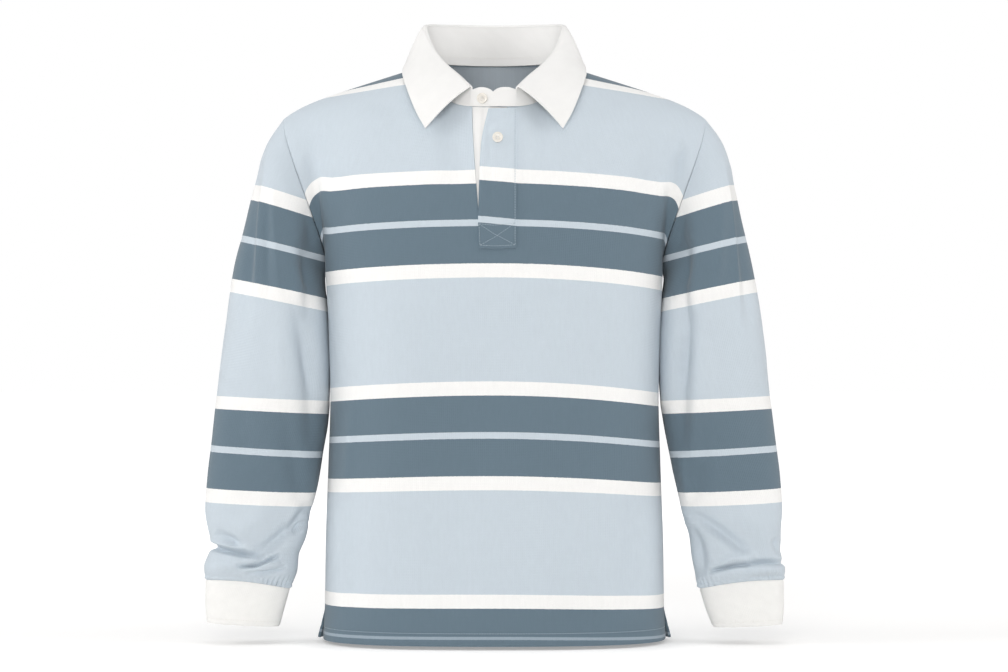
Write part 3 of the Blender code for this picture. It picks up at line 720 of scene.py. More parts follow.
@functools.cache
def panel(facing):
    """The front, facing -1, or the back, facing 1, as it hangs."""
    sizes = bpy.context.scene.shirt_sizes
    shares, rises = panel_shares(), panel_rises()
    heights = np.concatenate([HEM_ROWS, np.linspace(HEM_ROWS[-1], CHEST_HEIGHT, BODY_ROWS)[1:-1]])
    body = open_vents(body_surface(heights, shares, facing), shares, facing)
    surface = np.concatenate([body, arch(shares[None, :], rises[:, None], facing)])
    surface = ease_chest(surface, len(heights), shares)
    surface = ease_columns(surface, shares, rises)
    across = lengths_along(surface, 1)
    across -= across[:, [len(shares) // 2]]
    up = lengths_along(surface, 0)
    droop = read_table(STRIPE_DROOP, DROOP_COLUMNS, up / MM)
    side = np.where(surface[..., 0] < 0, droop["right"], droop["left"])
    reach = DROOP_REACH - (DROOP_REACH - 1) * smooth_step(*SHOULDER_UP, up)
    up = up + side * MM * np.clip(np.abs(surface[..., 0]) / DROOP_HALF_WIDTH, 0, reach) ** DROOP_POWER
    for label, (start, end, lift) in CREASE_LIFTS.items():
        beyond = smooth_step(start, end, surface[..., 0] * SIDES[label])
        up -= lift * beyond * smooth_step(CHEST_HEIGHT * MM, CHEST_HEIGHT * MM + lift * 4, surface[..., 2])
    normals = normals_of(surface)
    to_side = np.minimum(np.abs(across - across[:, [0]]), np.abs(across - across[:, [-1]]))
    to_top = lengths_along(surface[::-1], 0)[::-1]
    folds = FRONT_FOLDS if facing < 0 else BACK_FOLDS
    seen = smooth_step(0, 0.3, np.abs(normals[..., 1]))
    relief = sizes.fold_depth * fold_relief(surface[..., 0], surface[..., 2], folds) * seen
    relief += UNEVEN_HEIGHT * uneven(surface, facing * UNEVEN_SEEDS["panel"])
    relief *= smooth_step(0, SIDE_CALM, to_side) * 0.9 + 0.1
    if facing < 0:
        beside = smooth_step(*PLACKET_CALM, np.abs(surface[..., 0] - PLACKET_MIDDLE))
        relief *= np.maximum(beside, smooth_step(*BELOW_PLACKET, surface[..., 2]))
    relief *= smooth_step(0, TOP_CALM, to_top)
    relief += np.minimum(groove(to_side, sizes.seam_groove), groove(to_top, sizes.seam_groove))
    height = surface[..., 2] - BODY_RINGS[0][0] * MM
    relief += groove(height - sizes.hem_stitch, sizes.seam_groove * 0.7) + groove(height, EDGE_GROOVES["hem"])
    points = surface + normals * relief[..., None]
    return Sheet(points, normals_of(points), across, up), shares, rises, len(heights)


def seam_lean(side):
    """The way that the armhole seam faces, out from the body."""
    return np.array((side * SEAM_LEAN[0], 0, SEAM_LEAN[2]))


def without_lean(normals, lean, side):
    """Turn normals so that a wall's end face doesn't lean over the seam beside it."""
    along = np.clip((normals @ lean) * side, 0, None)
    return unit(normals - along[..., None] * lean * side)


def panel_walls(facing):
    """Outer and inner points of the front or back, set off its seams."""
    sheet, shares, rises, first_arch = panel(facing)
    outer, normals = sheet.points.copy(), sheet.normals.copy()
    half_gap = SEAM_GAP / 2
    for column in (0, -1):
        side = math.copysign(1, shares[column])
        lean = seam_lean(side)
        normals[first_arch:, column] = without_lean(normals[first_arch:, column], lean, -1)
        outer[first_arch:, column] -= lean * half_gap
        outer[: first_arch + 1, column, 1] += facing * half_gap
        normals[: first_arch + 1, column, 1] = 0
    on_shoulder = np.abs(shares) >= NECK_SHARE
    outer[-1, on_shoulder, 1] += facing * half_gap
    normals[-1, on_shoulder, 1] = 0
    normals = unit(normals)
    hem = smooth_step(HEM_TOP * MM + 1.2 * MM, HEM_TOP * MM - 1.2 * MM, outer[..., 2])
    wall = JERSEY_WALL + (HEM_WALL - JERSEY_WALL) * hem
    return outer, outer - normals * wall[..., None]


def strip_points(across, rises):
    """Points and normals of the front near its slit, across 0 to 1 from its right edge."""
    width = PLACKET_LEFT_SHARE - SLIT_RIGHT_SHARE

    def at(sideways, upward):
        return arch(SLIT_RIGHT_SHARE + sideways * width, upward, -1)

    breadth = at(across + SLOPE_STEP, rises) - at(across - SLOPE_STEP, rises)
    above = np.minimum(rises + SLOPE_STEP, 1)
    height = at(across, above) - at(across, above - 2 * SLOPE_STEP)
    return at(across, rises), unit(np.cross(breadth, height))


def tube_rings(rows, places, turns, side, bow):
    """Rings of a sleeve or cuff at any places along its table of rows. Near the cuff seam
    they bow upwards."""
    ring = {
        name: interpolate(range(len(rows)), [row[n] for row in rows], places) * MM
        for n, name in enumerate(SLEEVE_COLUMNS)
    }
    inner = as_points(ring["inner_x"], -ring["forward"], ring["inner_z"])
    outer = as_points(ring["outer_x"], -ring["forward"], ring["outer_z"])
    centre, arm = (inner + outer) / 2, (outer - inner) / 2
    across = -np.sign(np.cos(turns)) * np.abs(np.cos(turns)) ** SLEEVE_SQUARE
    away = -np.sign(np.sin(turns)) * np.abs(np.sin(turns)) ** SLEEVE_SQUARE
    points = centre[:, None] + arm[:, None] * across[None, :, None]
    points[..., 1] += ring["depth"][:, None] * away
    points[..., 2] += (bow(np.asarray(places)) * CUFF_BOW)[:, None] * (1 - across**2)
    points[..., 0] *= side
    return points


def armhole(turns, side):
    """The armhole seam, from the underarm up the front and down the back."""
    steps = len(ARMHOLE_RISES) - 1
    knots = np.arange(2 * steps + 1)
    rises = np.interp(turns / math.tau * 2 * steps, knots, [*ARMHOLE_RISES, *ARMHOLE_RISES[-2::-1]])
    front = arch(np.full_like(rises, side), rises, -1)
    back = arch(np.full_like(rises, side), rises, 1)
    return np.where((turns <= math.pi)[:, None], front, back)


@functools.cache
def sleeve(label):
    """A sleeve as it hangs, from its armhole seam to its cuff."""
    sizes = bpy.context.scene.shirt_sizes
    side = SIDES[label]
    rows = SLEEVES[label]
    turns = np.arange(TUBE_COLUMNS) * math.tau / TUBE_COLUMNS
    last = len(rows) - 1
    bunched = last - BUNCHED_RINGS
    even = np.linspace(1, bunched, SLEEVE_ROWS)[:-1]
    places = np.concatenate([ARMHOLE_PLACES, even, np.linspace(bunched, last, BUNCHED_ROWS)])

    def bow(where):
        return smooth_step(last - CUFF_BOW_REACH, last, where)

    points = tube_rings(rows, places, turns, side, bow)
    offset = armhole(turns, side) - tube_rings(rows, np.zeros(1), turns, side, bow)[0]
    blend = interpolate(range(len(ARMHOLE_BLEND)), ARMHOLE_BLEND, np.clip(places, 0, 4))
    points += offset * blend[:, None, None]
    points[0] += seam_lean(side) * SEAM_GAP / 2
    normals = normals_of(points, closed=True)
    from_armhole = lengths_along(points, 0)
    from_cuff = lengths_along(points[::-1], 0)[::-1]
    across = lengths_along(wrap(points), 1)
    to_underarm = np.minimum(across, across[:, [-1]] - across)[:, :-1]
    x, z = np.abs(points[..., 0]), points[..., 2]
    front = smooth_step(-0.5, 0.5, -normals[..., 1])
    back = 1 - front
    relief = fold_relief(x, z, SLEEVE_FOLDS[label, "front"]) * front
    relief += fold_relief(x, z, SLEEVE_FOLDS[label, "back"]) * back
    relief = sizes.fold_depth * relief + UNEVEN_HEIGHT * uneven(points, side * UNEVEN_SEEDS["sleeve"])
    inner_side = smooth_step(*UNDERARM_CALM, to_underarm) + smooth_step(*FOREARM, z)
    relief = np.where(relief > 0, relief * np.clip(inner_side, 0, 1), relief)
    relief *= smooth_step(0, ARMHOLE_CALM, from_armhole) * smooth_step(0, CUFF_CALM, from_cuff)
    # Gathers are bunched unevenly round the wrist, and end in a ridge where the seam turns up
    stronger = 0.55 + 0.45 * np.cos(turns) + 0.35 * np.sin(turns * 3 + side)
    ticks = np.sin(turns * GATHER_COUNT + 1.6 * np.sin(turns * 5)) * np.clip(stronger, 0.15, 1.2)
    fade = np.exp(-((from_cuff / GATHER_REACH) ** 2)) * smooth_step(0, 1.5 * MM, from_cuff)
    relief += sizes.gather_depth * ticks * fade
    relief += RIDGE_HEIGHT * np.exp(-(((from_cuff - RIDGE_PLACE) / RIDGE_WIDTH) ** 2))
    relief += groove(from_cuff - sizes.seam_band, sizes.seam_groove)
    relief += groove(from_armhole, sizes.seam_groove) + groove(from_cuff, sizes.seam_groove)
    relief += groove(to_underarm, sizes.seam_groove * 0.8)
    points = points + normals * relief[..., None]
    height = points[..., 2] / MM
    slope = read_table(SLEEVE_STRIPES, SLEEVE_STRIPE_COLUMNS, np.clip(height, -740, 0))["slope"]
    level = height - slope * (np.abs(points[..., 0]) - SLEEVE_MIDDLE) / MM
    up = read_table(SLEEVE_STRIPES, SLEEVE_STRIPE_COLUMNS, np.clip(level, -740, 0))["up"] * MM
    return Sheet(points, normals_of(points, closed=True), across, wrap(up))


@functools.cache
def cuff(label):
    """A cuff, with the row of sewing that holds its fold."""
    sizes = bpy.context.scene.shirt_sizes
    turns = np.arange(TUBE_COLUMNS) * math.tau / TUBE_COLUMNS
    points = tube_rings(CUFFS[label], CUFF_PLACES, turns, SIDES[label], lambda where: 1 - where / 2)
    points[0, :, 2] -= SEAM_GAP
    normals = normals_of(points, closed=True)
    from_seam = lengths_along(points, 0)
    from_edge = lengths_along(points[::-1], 0)[::-1]
    across = lengths_along(wrap(points), 1)
    relief = CUFF_UNEVEN_HEIGHT * uneven(points, UNEVEN_SEEDS["cuff"] * SIDES[label])
    relief += groove(from_seam, sizes.seam_groove) + groove(from_edge, EDGE_GROOVES["cuff"])
    relief += groove(from_edge - sizes.cuff_stitch, sizes.seam_groove * 0.6)
    points = points + normals * relief[..., None]
    return Sheet(points, normals_of(points, closed=True), across, wrap(from_edge))


def collar_section(angle):
    """The roll's middle, the leaf's edge, and the directions up and in from the stand,
    and down and out from the leaf."""
    side = math.copysign(1, angle)

    def at(degrees):
        even = ("roll_y", "roll_z", "edge_y", "edge_z")
        row = read_table(COLLAR_SECTIONS, COLLAR_COLUMNS, abs(degrees), even)
        roll = Vector((side * row["roll_x"], row["roll_y"], row["roll_z"])) * MM
        edge = Vector((side * row["edge_x"], row["edge_y"], row["edge_z"])) * MM
        return roll, edge

    roll, edge = at(angle)
    along = at(angle + side * SIDE_STEP)[0] - at(angle - side * SIDE_STEP)[0]
    if abs(angle) <= SIDE_STEP:
        along = Vector((1, 0, 0))
    rise = (roll - Vector(neck_points(angle))).normalized()
    down = (edge - roll).normalized()
    inward = rise.cross(along).normalized()
    out = down.cross(along).normalized()
    if inward.dot(Vector((roll.x, roll.y, 0))) > 0:
        inward = -inward
    if out.dot(Vector((roll.x, roll.y, ROLL_UPWARD))) < 0:
        out = -out
    return roll, edge, rise, inward, down, out


def collar_angles(first, last):
    """Angles of the collar's sections."""
    stops = [first, *(a for a in (-LEAF_END_ANGLE, LEAF_END_ANGLE) if first < a < last), last]
    angles = []
    for start, end in zip(stops, stops[1:]):
        steps = math.ceil((end - start) / COLLAR_STEP)
        angles.extend(start + (end - start) * n / steps for n in range(steps))
    return [*angles, last]


def leaf_section(angle):
    """The leaf's outer face, over its roll from inside and down to its free edge, and
    the directions in which its roll faces."""
    roll, edge, rise, inward, down, out = collar_section(angle)
    fold = math.atan2(out.dot(rise), out.dot(inward)) % math.tau
    turns = [fold * n / ROLL_STEPS for n in range(ROLL_STEPS)]
    facings = [inward * math.cos(turn) + rise * math.sin(turn) for turn in turns]
    points = [roll + facing * ROLL_RADIUS for facing in facings]
    start = roll + out * ROLL_RADIUS
    reach = (edge - start).length * LEAF_HANDLE
    knots, bulges = zip(*LEAF_BULGES)
    bulge = float(np.interp(abs(angle), knots, bulges)) * MM
    low = start + down * reach + out * bulge
    high = edge - down * reach + out * bulge
    points.extend(bezier(start, low, high, edge, n / LEAF_STEPS) for n in range(LEAF_STEPS + 1))
    return points, facings


@functools.cache
def leaf():
    """The leaf of the collar, turned down over the stand, and the faces of its roll."""
    sections = [leaf_section(angle) for angle in collar_angles(-LEAF_END_ANGLE, LEAF_END_ANGLE)]
    points = np.array([[list(p) for p in section] for section, facings in sections])
    normals = normals_of(points)
    normals[:, :ROLL_STEPS] = [[list(f) for f in facings] for section, facings in sections]
    across, up = lengths_along(points, 0), lengths_along(points, 1)
    return Sheet(points, normals, across, up)


def stand_section(angle):
    """The stand's outer face, from just above the neck seam to its top edge."""
    foot = Vector(neck_points(angle))
    lapped = max(angle - STAND_LAP_START, 0) / (180 - STAND_LAP_START)
    foot = foot + Vector((0, -STAND_LAP * min(lapped, 1), SEAM_GAP))
    if abs(angle) <= LEAF_END_ANGLE:
        roll, edge, rise, inward, down, out = collar_section(angle)
        top = roll + inward * (ROLL_RADIUS - COLLAR_WALL) - rise * ROLL_GAP
    else:
        end = STAND_RIGHT_END if angle < 0 else STAND_LEFT_END
        from_end = abs(math.radians(end - angle)) * NECK_HALF_WIDTH
        short = max(STAND_CORNER - from_end, 0)
        height = STAND_END_HEIGHT - STAND_CORNER + math.sqrt(STAND_CORNER**2 - short**2)
        height -= STAND_DIP * max(1 - (abs(angle) - LEAF_END_ANGLE) / STAND_DIP_ANGLE, 0)
        top = foot + Vector((0, 0, height))
    return [foot.lerp(top, n / STAND_STEPS) for n in range(STAND_STEPS + 1)]


@functools.cache
def stand():
    """The stand, whose left end laps in front of its right end."""
    sections = [stand_section(angle) for angle in collar_angles(STAND_RIGHT_END, STAND_LEFT_END)]
    points = np.array([[list(p) for p in section] for section in sections])
    return Sheet(points, normals_of(points), lengths_along(points, 0), lengths_along(points, 1))


def band_strip():
    """The striped band of the placket, laid on the front over the slit."""
    sizes = bpy.context.scene.shirt_sizes
    rises = np.linspace(BAND_EDGE[0][0], BAND_TOP, BAND_ROWS + 1)[:, None]
    near, far = (0, 0.012, 0.03, 0.055), (0.945, 0.97, 0.988, 1)
    share = np.concatenate([near, np.linspace(0.09, 0.91, BAND_ACROSS), far])
    free = read_table(BAND_EDGE, BAND_COLUMNS, rises)["free_edge"]
    across = free + (1 - free) * share[None, :]
    across, rises = np.broadcast_arrays(across, rises)
    points, normals = strip_points(across, rises)
    across_mm = lengths_along(points, 1)
    to_edge = np.minimum(across_mm, across_mm[:, [-1]] - across_mm)
    up_mm = lengths_along(points, 0)
    to_end = np.minimum(up_mm, up_mm[[-1]] - up_mm)
    relief = groove(to_edge, EDGE_GROOVES["band"]) + groove(to_end, EDGE_GROOVES["band_end"])
    relief += groove(across_mm[:, [-1]] - across_mm - sizes.placket_stitch, sizes.seam_groove * 0.6)
    creases = sizes.fold_depth * fold_relief(points[..., 0], points[..., 2], BAND_FOLDS)
    relief += creases * smooth_step(0, 6 * MM, to_edge)
    relief = np.maximum(relief, 0.5 * MM - PLACKET_WALL)
    outer = points + normals * (PLACKET_WALL + SEAM_GAP + relief)[..., None]
    inner = points + normals * SEAM_GAP
    return (outer, inner), across, rises


def facing_strip():
    """The white facing that fills the slit."""
    width = PLACKET_LEFT_SHARE - SLIT_RIGHT_SHARE
    slit_end = (SLIT_LEFT_SHARE - SLIT_RIGHT_SHARE) / width
    clear, climb = SEAM_GAP / SLIT_WIDTH, SEAM_GAP / SLIT_LENGTH
    rises = np.linspace(NOTCH_BOTTOM + climb, 1, BAND_ROWS + 1)[:, None]
    across = np.linspace(clear, slit_end - clear, BAND_ACROSS)[None, :]
    across, rises = np.broadcast_arrays(across, rises)
    points, normals = strip_points(across, rises)
    aside = across - FACING_CREASE_START - FACING_CREASE_SLANT * rises
    crease = FACING_CREASE_DEPTH * np.exp(-((aside / FACING_CREASE_WIDTH) ** 2))
    outer = points - normals * (FACING_DROP + crease)[..., None]
    inner = points - normals * (FACING_DROP + PLACKET_WALL)
    return outer, inner


def front_up(across, rises):
    """The cloth's own height on the front, near its slit."""
    sheet, shares, panel_rise, first_arch = panel(-1)
    share = SLIT_RIGHT_SHARE + across * (PLACKET_LEFT_SHARE - SLIT_RIGHT_SHARE)
    rows = first_arch + np.interp(rises, panel_rise, np.arange(len(panel_rise)))
    columns = np.interp(share, shares, np.arange(len(shares)))
    return sample(sheet.up, rows, columns)


def wall_mesh(outer, inner, weave, closed=False, kept=None, lined=None):
    """Corners, faces and weave coordinates of a closed wall between two grids of points."""
    rows, columns = outer.shape[:2]
    spans = columns if closed else columns - 1
    i, j = np.meshgrid(np.arange(rows - 1), np.arange(spans), indexing="ij")
    if kept is not None:
        i, j = i[kept], j[kept]
    i, j = i.ravel(), j.ravel()
    corner_rows = np.stack([i, i, i + 1, i + 1], axis=1)
    corner_columns = np.stack([j, j + 1, j + 1, j], axis=1)
    ids = corner_rows * columns + corner_columns % columns
    flat = outer.reshape(-1, 3)
    thickness = (outer - inner).reshape(-1, 3)[ids[:, 0]]
    normals = np.cross(flat[ids[:, 1]] - flat[ids[:, 0]], flat[ids[:, 3]] - flat[ids[:, 0]])
    if (normals * thickness).sum() < 0:
        ids, corner_rows, corner_columns = (a[:, ::-1] for a in (ids, corner_rows, corner_columns))
    size = rows * columns
    starts, ends = ids.ravel(), np.roll(ids, -1, axis=1).ravel()
    rim = ~np.isin(starts * size + ends, ends * size + starts)
    a, b = starts[rim], ends[rim]
    rim_faces = np.stack([b, a, a + size, b + size], axis=1)
    faces = np.concatenate([ids, ids[:, ::-1] + size, rim_faces])
    skin_weave = weave[corner_rows, corner_columns]
    rim_weave = weave[:, :columns].reshape(-1, 2)[rim_faces % size]
    inner_weave = skin_weave[:, ::-1].copy()
    if lined is not None:
        inner_weave[lined[i, j], :, 1] = LINING_HEIGHT
    coordinates = np.concatenate([skin_weave, inner_weave, rim_weave])
    return np.concatenate([flat, inner.reshape(-1, 3)]), faces, coordinates


def new_piece(name, corners, faces, material, sharp):
    """A mesh as a new object, smooth but at edges that turn by more than sharp degrees."""
    mesh = bpy.data.meshes.new(name)
    mesh.from_pydata(corners.tolist(), [], faces)
    mesh.materials.append(material)
    mesh.shade_smooth()
    mesh.set_sharp_from_angle(angle=math.radians(sharp))
    piece = bpy.data.objects.new(name, mesh)
    bpy.context.scene.collection.objects.link(piece)
    return piece


def add_cloth(node, slot, walls, weave, held, rests_on=(), **choices):
    """A closed wall of cloth in place of its solid, and its weave as its UV map."""
    corners, faces, coordinates = wall_mesh(*walls, np.stack(weave, axis=-1), **choices)
    used, faces = np.unique(faces, return_inverse=True)
    material = get_material(*MATERIALS[slot])
    piece = new_piece(f"{node}_cloth", corners[used], faces.reshape(-1, 4).tolist(), material, 55)
    layer = piece.data.uv_layers.new(name="cloth")
    layer.data.foreach_set("uv", coordinates.reshape(-1).astype(np.float32))
    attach(piece, "root")
    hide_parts(node)
    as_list(rests_on)


def set_inputs(node, inputs):
    """Set a node's inputs, or link them to a socket or to another node's first output."""
    for name, value in inputs.items():
        if isinstance(value, bpy.types.Node):
            value = value.outputs[0]
        if isinstance(value, bpy.types.NodeSocket):
            node.id_data.links.new(value, node.inputs[name])
        else:
            node.inputs[name].default_value = value


def add_node(tree, kind, inputs=None, **settings):
    """A shader node with its settings, and its inputs linked or set."""
    node = tree.nodes.new(f"ShaderNode{kind}")
    for name, value in settings.items():
        setattr(node, name, value)
    set_inputs(node, inputs or {})
    return node


def fill_ramp(ramp, stops):
    """Set a colour ramp's stops, each a place and a colour, without blending."""
    ramp.interpolation = "CONSTANT"
    while len(ramp.elements) > 1:
        ramp.elements.remove(ramp.elements[-1])
    for n, (place, colour) in enumerate(stops):
        stop = ramp.elements[0] if n == 0 else ramp.elements.new(place)
        stop.position = place
        stop.color = (*colour, 1)


def get_material(name, finish, *choices):
    """The material of that name, given its finish the first time."""
    material = bpy.data.materials.get(name)
    if material is None:
        material = bpy.data.materials.new(name)
        material.use_nodes = True
        tree = material.node_tree
        finish(tree, tree.nodes["Principled BSDF"], *choices)
    return material


def cloud(tree, colour, place, scale, detail, low, high):
    """A colour made slightly uneven, between low and high shares of its own lightness."""
    soft = add_node(tree, "TexNoise", {"Vector": place, "Scale": scale, "Detail": detail})
    shares = {"From Min": 0.3, "From Max": 0.7, "To Min": low, "To Max": high}
    level = add_node(tree, "MapRange", {"Value": soft, **shares})
    return add_node(tree, "VectorMath", {0: tuple(colour), "Scale": level}, operation="SCALE")


def knit_bump(tree, parts, wale, course, depth):
    """Upright wales crossed by courses. Real ones are about 1 mm, too fine to show here, so
    they are drawn about twice as coarse."""
    wave = add_node(tree, "Math", {0: parts.outputs["X"], 1: math.tau / wale}, operation="MULTIPLY")
    ribs = add_node(tree, "Math", {0: wave}, operation="SINE")
    rows = add_node(tree, "Math", {0: parts.outputs["Y"], 1: math.tau / course}, operation="MULTIPLY")
    loops = add_node(tree, "Math", {0: rows}, operation="SINE")
    both = add_node(tree, "Math", {0: loops, 1: 0.8, 2: ribs}, operation="MULTIPLY_ADD")
    return add_node(tree, "Bump", {"Height": both, "Strength": 0.25, "Distance": depth})


def striped_jersey(tree, shader):
    """Combed cotton jersey, knitted in stripes and washed: matt, with fine upright wales."""
    colours, stripes = bpy.context.scene.shirt_colours, bpy.context.scene.shirt_stripes
    weave = add_node(tree, "UVMap", uv_map="cloth")
    parts = add_node(tree, "SeparateXYZ", {0: weave})
    # Stripes meet along a knitted course, so their edges are a little ragged
    rag = add_node(tree, "TexNoise", {"Vector": weave, "Scale": 420.0, "Detail": 1.0})
    ragged = add_node(tree, "Math", {0: rag, 1: -0.5}, operation="ADD")
    raggedness = {0: ragged, 1: STRIPE_RAGGEDNESS, 2: parts.outputs["Y"]}
    shift = add_node(tree, "Math", raggedness, operation="MULTIPLY_ADD")
    start = add_node(tree, "Math", {0: shift, 1: stripes.first_light}, operation="SUBTRACT")
    turns = add_node(tree, "Math", {0: start, 1: stripes.repeat}, operation="DIVIDE")
    place = add_node(tree, "Math", {0: turns}, operation="FRACT")
    light, dark, white = colours.light, colours.dark, colours.white
    widths = (stripes.light_band, stripes.white_band, stripes.dark_band, stripes.thin_band, stripes.dark_band)
    edges = np.cumsum((0, *widths)) / stripes.repeat
    body = add_node(tree, "ValToRGB", {0: place})
    fill_ramp(body.color_ramp, zip(edges, (light, white, dark, light, dark, white)))
    # The hem is cut from a dark band, and a thin pale line is painted just above its fold: a painted
    # highlight on the ridge of the fold
    hem_place = add_node(tree, "Math", {0: shift, 1: stripes.hem_dark}, operation="DIVIDE")
    hem = add_node(tree, "ValToRGB", {0: hem_place})
    edges = np.array((0, stripes.hem_highlight, stripes.hem_highlight + stripes.hem_highlight_width)) / stripes.hem_dark
    fill_ramp(hem.color_ramp, zip(edges, (dark, colours.hem_highlight, dark)))
    low = add_node(tree, "Math", {0: shift, 1: stripes.hem_dark}, operation="LESS_THAN")
    dyed = add_node(tree, "Mix", {0: low, 6: body, 7: hem}, data_type="RGBA")
    # Yarn takes the dye unevenly: long soft streaks along the wales, and a fine speckle
    streak_place = add_node(tree, "Mapping", {"Vector": weave, "Scale": (260.0, 60.0, 1.0)})
    streaks = add_node(tree, "TexNoise", {"Vector": streak_place, "Scale": 1.0, "Detail": 2.0})
    speckle = add_node(tree, "TexNoise", {"Vector": weave, "Scale": 900.0, "Detail": 0.0})
    tone = add_node(tree, "Math", {0: streaks, 1: speckle}, operation="ADD")
    shares = {"From Min": 0.6, "From Max": 1.4, "To Min": 0.972, "To Max": 1.026}
    level = add_node(tree, "MapRange", {"Value": tone, **shares})
    toned = add_node(tree, "VectorMath", {0: dyed.outputs[2], "Scale": level}, operation="SCALE")
    bump = knit_bump(tree, parts, wale=2.4 * MM, course=1.9 * MM, depth=0.25 * MM)
    set_inputs(shader, {"Base Color": toned, "Normal": bump, "Roughness": 0.92, "IOR": 1.45})
    set_inputs(shader, {"Specular IOR Level": 0.2, "Sheen Weight": 0.18, "Sheen Roughness": 0.6})


def white_drill(tree, shader):
    """Bleached cotton drill, fused and pressed: smooth, with a faint slanting twill."""
    weave = add_node(tree, "UVMap", uv_map="cloth")
    parts = add_node(tree, "SeparateXYZ", {0: weave})
    # Twill lines are about 0.6 mm apart and are drawn at 1.6 mm so that they show
    slant = add_node(tree, "Math", {0: parts.outputs["X"], 1: parts.outputs["Y"]}, operation="ADD")
    wave = add_node(tree, "Math", {0: slant, 1: math.tau / (1.6 * MM)}, operation="MULTIPLY")
    twill = add_node(tree, "Math", {0: wave}, operation="SINE")
    bump = add_node(tree, "Bump", {"Height": twill, "Strength": 0.25, "Distance": 0.15 * MM})
    toned = cloud(tree, bpy.context.scene.shirt_colours.collar, weave, 60.0, 3.0, 0.985, 1.01)
    set_inputs(shader, {"Base Color": toned, "Normal": bump, "Roughness": 0.85, "IOR": 1.45})
    set_inputs(shader, {"Specular IOR Level": 0.25, "Sheen Weight": 0.08, "Sheen Roughness": 0.5})


def white_rib(tree, shader):
    """White double-knit cotton cuffs: soft upright ribs, slightly warmer than the collar."""
    weave = add_node(tree, "UVMap", uv_map="cloth")
    parts = add_node(tree, "SeparateXYZ", {0: weave})
    bump = knit_bump(tree, parts, wale=2.2 * MM, course=1.4 * MM, depth=0.3 * MM)
    toned = cloud(tree, bpy.context.scene.shirt_colours.rib, weave, 90.0, 2.0, 0.98, 1.01)
    set_inputs(shader, {"Base Color": toned, "Normal": bump, "Roughness": 0.95, "IOR": 1.45})
    set_inputs(shader, {"Specular IOR Level": 0.2, "Sheen Weight": 0.15, "Sheen Roughness": 0.6})


def ivory_resin(tree, shader):
    """Cast polyester resin, tumbled to a soft gloss, with a faint cloudiness."""
    place = add_node(tree, "TexCoord").outputs["Object"]
    toned = cloud(tree, bpy.context.scene.shirt_colours.button, place, 260.0, 2.0, 0.94, 1.03)
    set_inputs(shader, {"Base Color": toned, "Roughness": 0.28, "IOR": 1.54})
    set_inputs(shader, {"Coat Weight": 0.2, "Coat Roughness": 0.2})


def sewing_thread(tree, shader, colour):
    """Spun polyester thread: matt with a slight shine along its twist."""
    place = add_node(tree, "TexCoord").outputs["Object"]
    toned = cloud(tree, colour, place, 1500.0, 0.0, 0.93, 1.04)
    set_inputs(shader, {"Base Color": toned, "Roughness": 0.7, "Sheen Weight": 0.1})


def studio_white(tree, shader):
    """Matt white paper that the light bleaches, so that only soft shadows show on it."""
    place = add_node(tree, "TexCoord").outputs["Object"]
    far = add_node(tree, "VectorMath", {0: place}, operation="LENGTH").outputs["Value"]
    glow_near = bpy.context.scene.shirt_stage.floor_glow
    reach = {"From Min": 0.6, "From Max": 4.0, "To Min": glow_near, "To Max": 0.8}
    spread = add_node(tree, "MapRange", {"Value": far, **reach}, interpolation_type="SMOOTHSTEP")
    seen = add_node(tree, "LightPath").outputs["Is Camera Ray"]
    glow = add_node(tree, "MapRange", {"Value": seen, "To Min": 0.15, "To Max": spread})
    set_inputs(shader, {"Base Color": (0.8, 0.79, 0.78, 1), "Roughness": 1, "Specular IOR Level": 0})
    set_inputs(shader, {"Emission Color": (1, 1, 1, 1), "Emission Strength": glow})


# Material name and finish for each slot
MATERIALS = {
    "striped_jersey": ("striped_cotton_jersey", striped_jersey),
    "white_drill": ("white_cotton_drill", white_drill),
    "white_rib": ("white_cotton_rib", white_rib),
    "ivory_resin": ("ivory_polyester_resin", ivory_resin),
}


def thread_material(colour_name):
    """Sewing thread in one of the thread colours."""
    colour = getattr(bpy.context.scene.shirt_colours, f"{colour_name}_thread")
    return get_material(f"{colour_name}_polyester_thread", sewing_thread, colour)


def size_setting(name, description, size):
    """A length that a user can change."""
    return bpy.props.FloatProperty(name=name, description=description, default=size, unit="LENGTH")


def power_setting(name, description, watts):
    """A light's power that a user can change."""
    return bpy.props.FloatProperty(name=name, description=description, default=watts, unit="POWER", min=0)


def share_setting(name, description, share, most):
    """A factor that a user can change."""
    return bpy.props.FloatProperty(name=name, description=description, default=share, min=0, max=most)


def colour_setting(name, description, code):
    """A colour that a user can change, from its sRGB hex code."""
    return bpy.props.FloatVectorProperty(
        name=name, description=description, subtype="COLOR", size=3, min=0, max=1, default=linear(code)
    )


class ShirtSizes(bpy.types.PropertyGroup):
    """Depths of folds and sewing."""

    fold_depth: share_setting("Fold depth", "Scales the height of every fold", 1.3, 3)
    seam_groove: size_setting("Seam groove", "How far cloth sinks at a seam", 0.5 * MM)
    gather_depth: size_setting("Gather depth", "Height of the gathers above the cuffs", 1.6 * MM)
    hem_stitch: size_setting("Hem stitching", "Height of the sewing above the hem's fold", 16 * MM)
    cuff_stitch: size_setting("Cuff stitching", "Height of the sewing above the cuff's fold", 6 * MM)
    seam_band: size_setting("Seam band", "Height of the sewn band above the cuff", 5.4 * MM)
    placket_stitch: size_setting("Placket stitching", "Distance from the band's sewn edge", 2.2 * MM)
    stitch_pitch: size_setting("Stitch pitch", "Distance from one stitch to the next", 3.2 * MM)
    stitch_length: size_setting("Stitch length", "Length of the thread that shows", 2.4 * MM)
    thread_radius: size_setting("Thread radius", "Half the thread's width", 0.28 * MM)


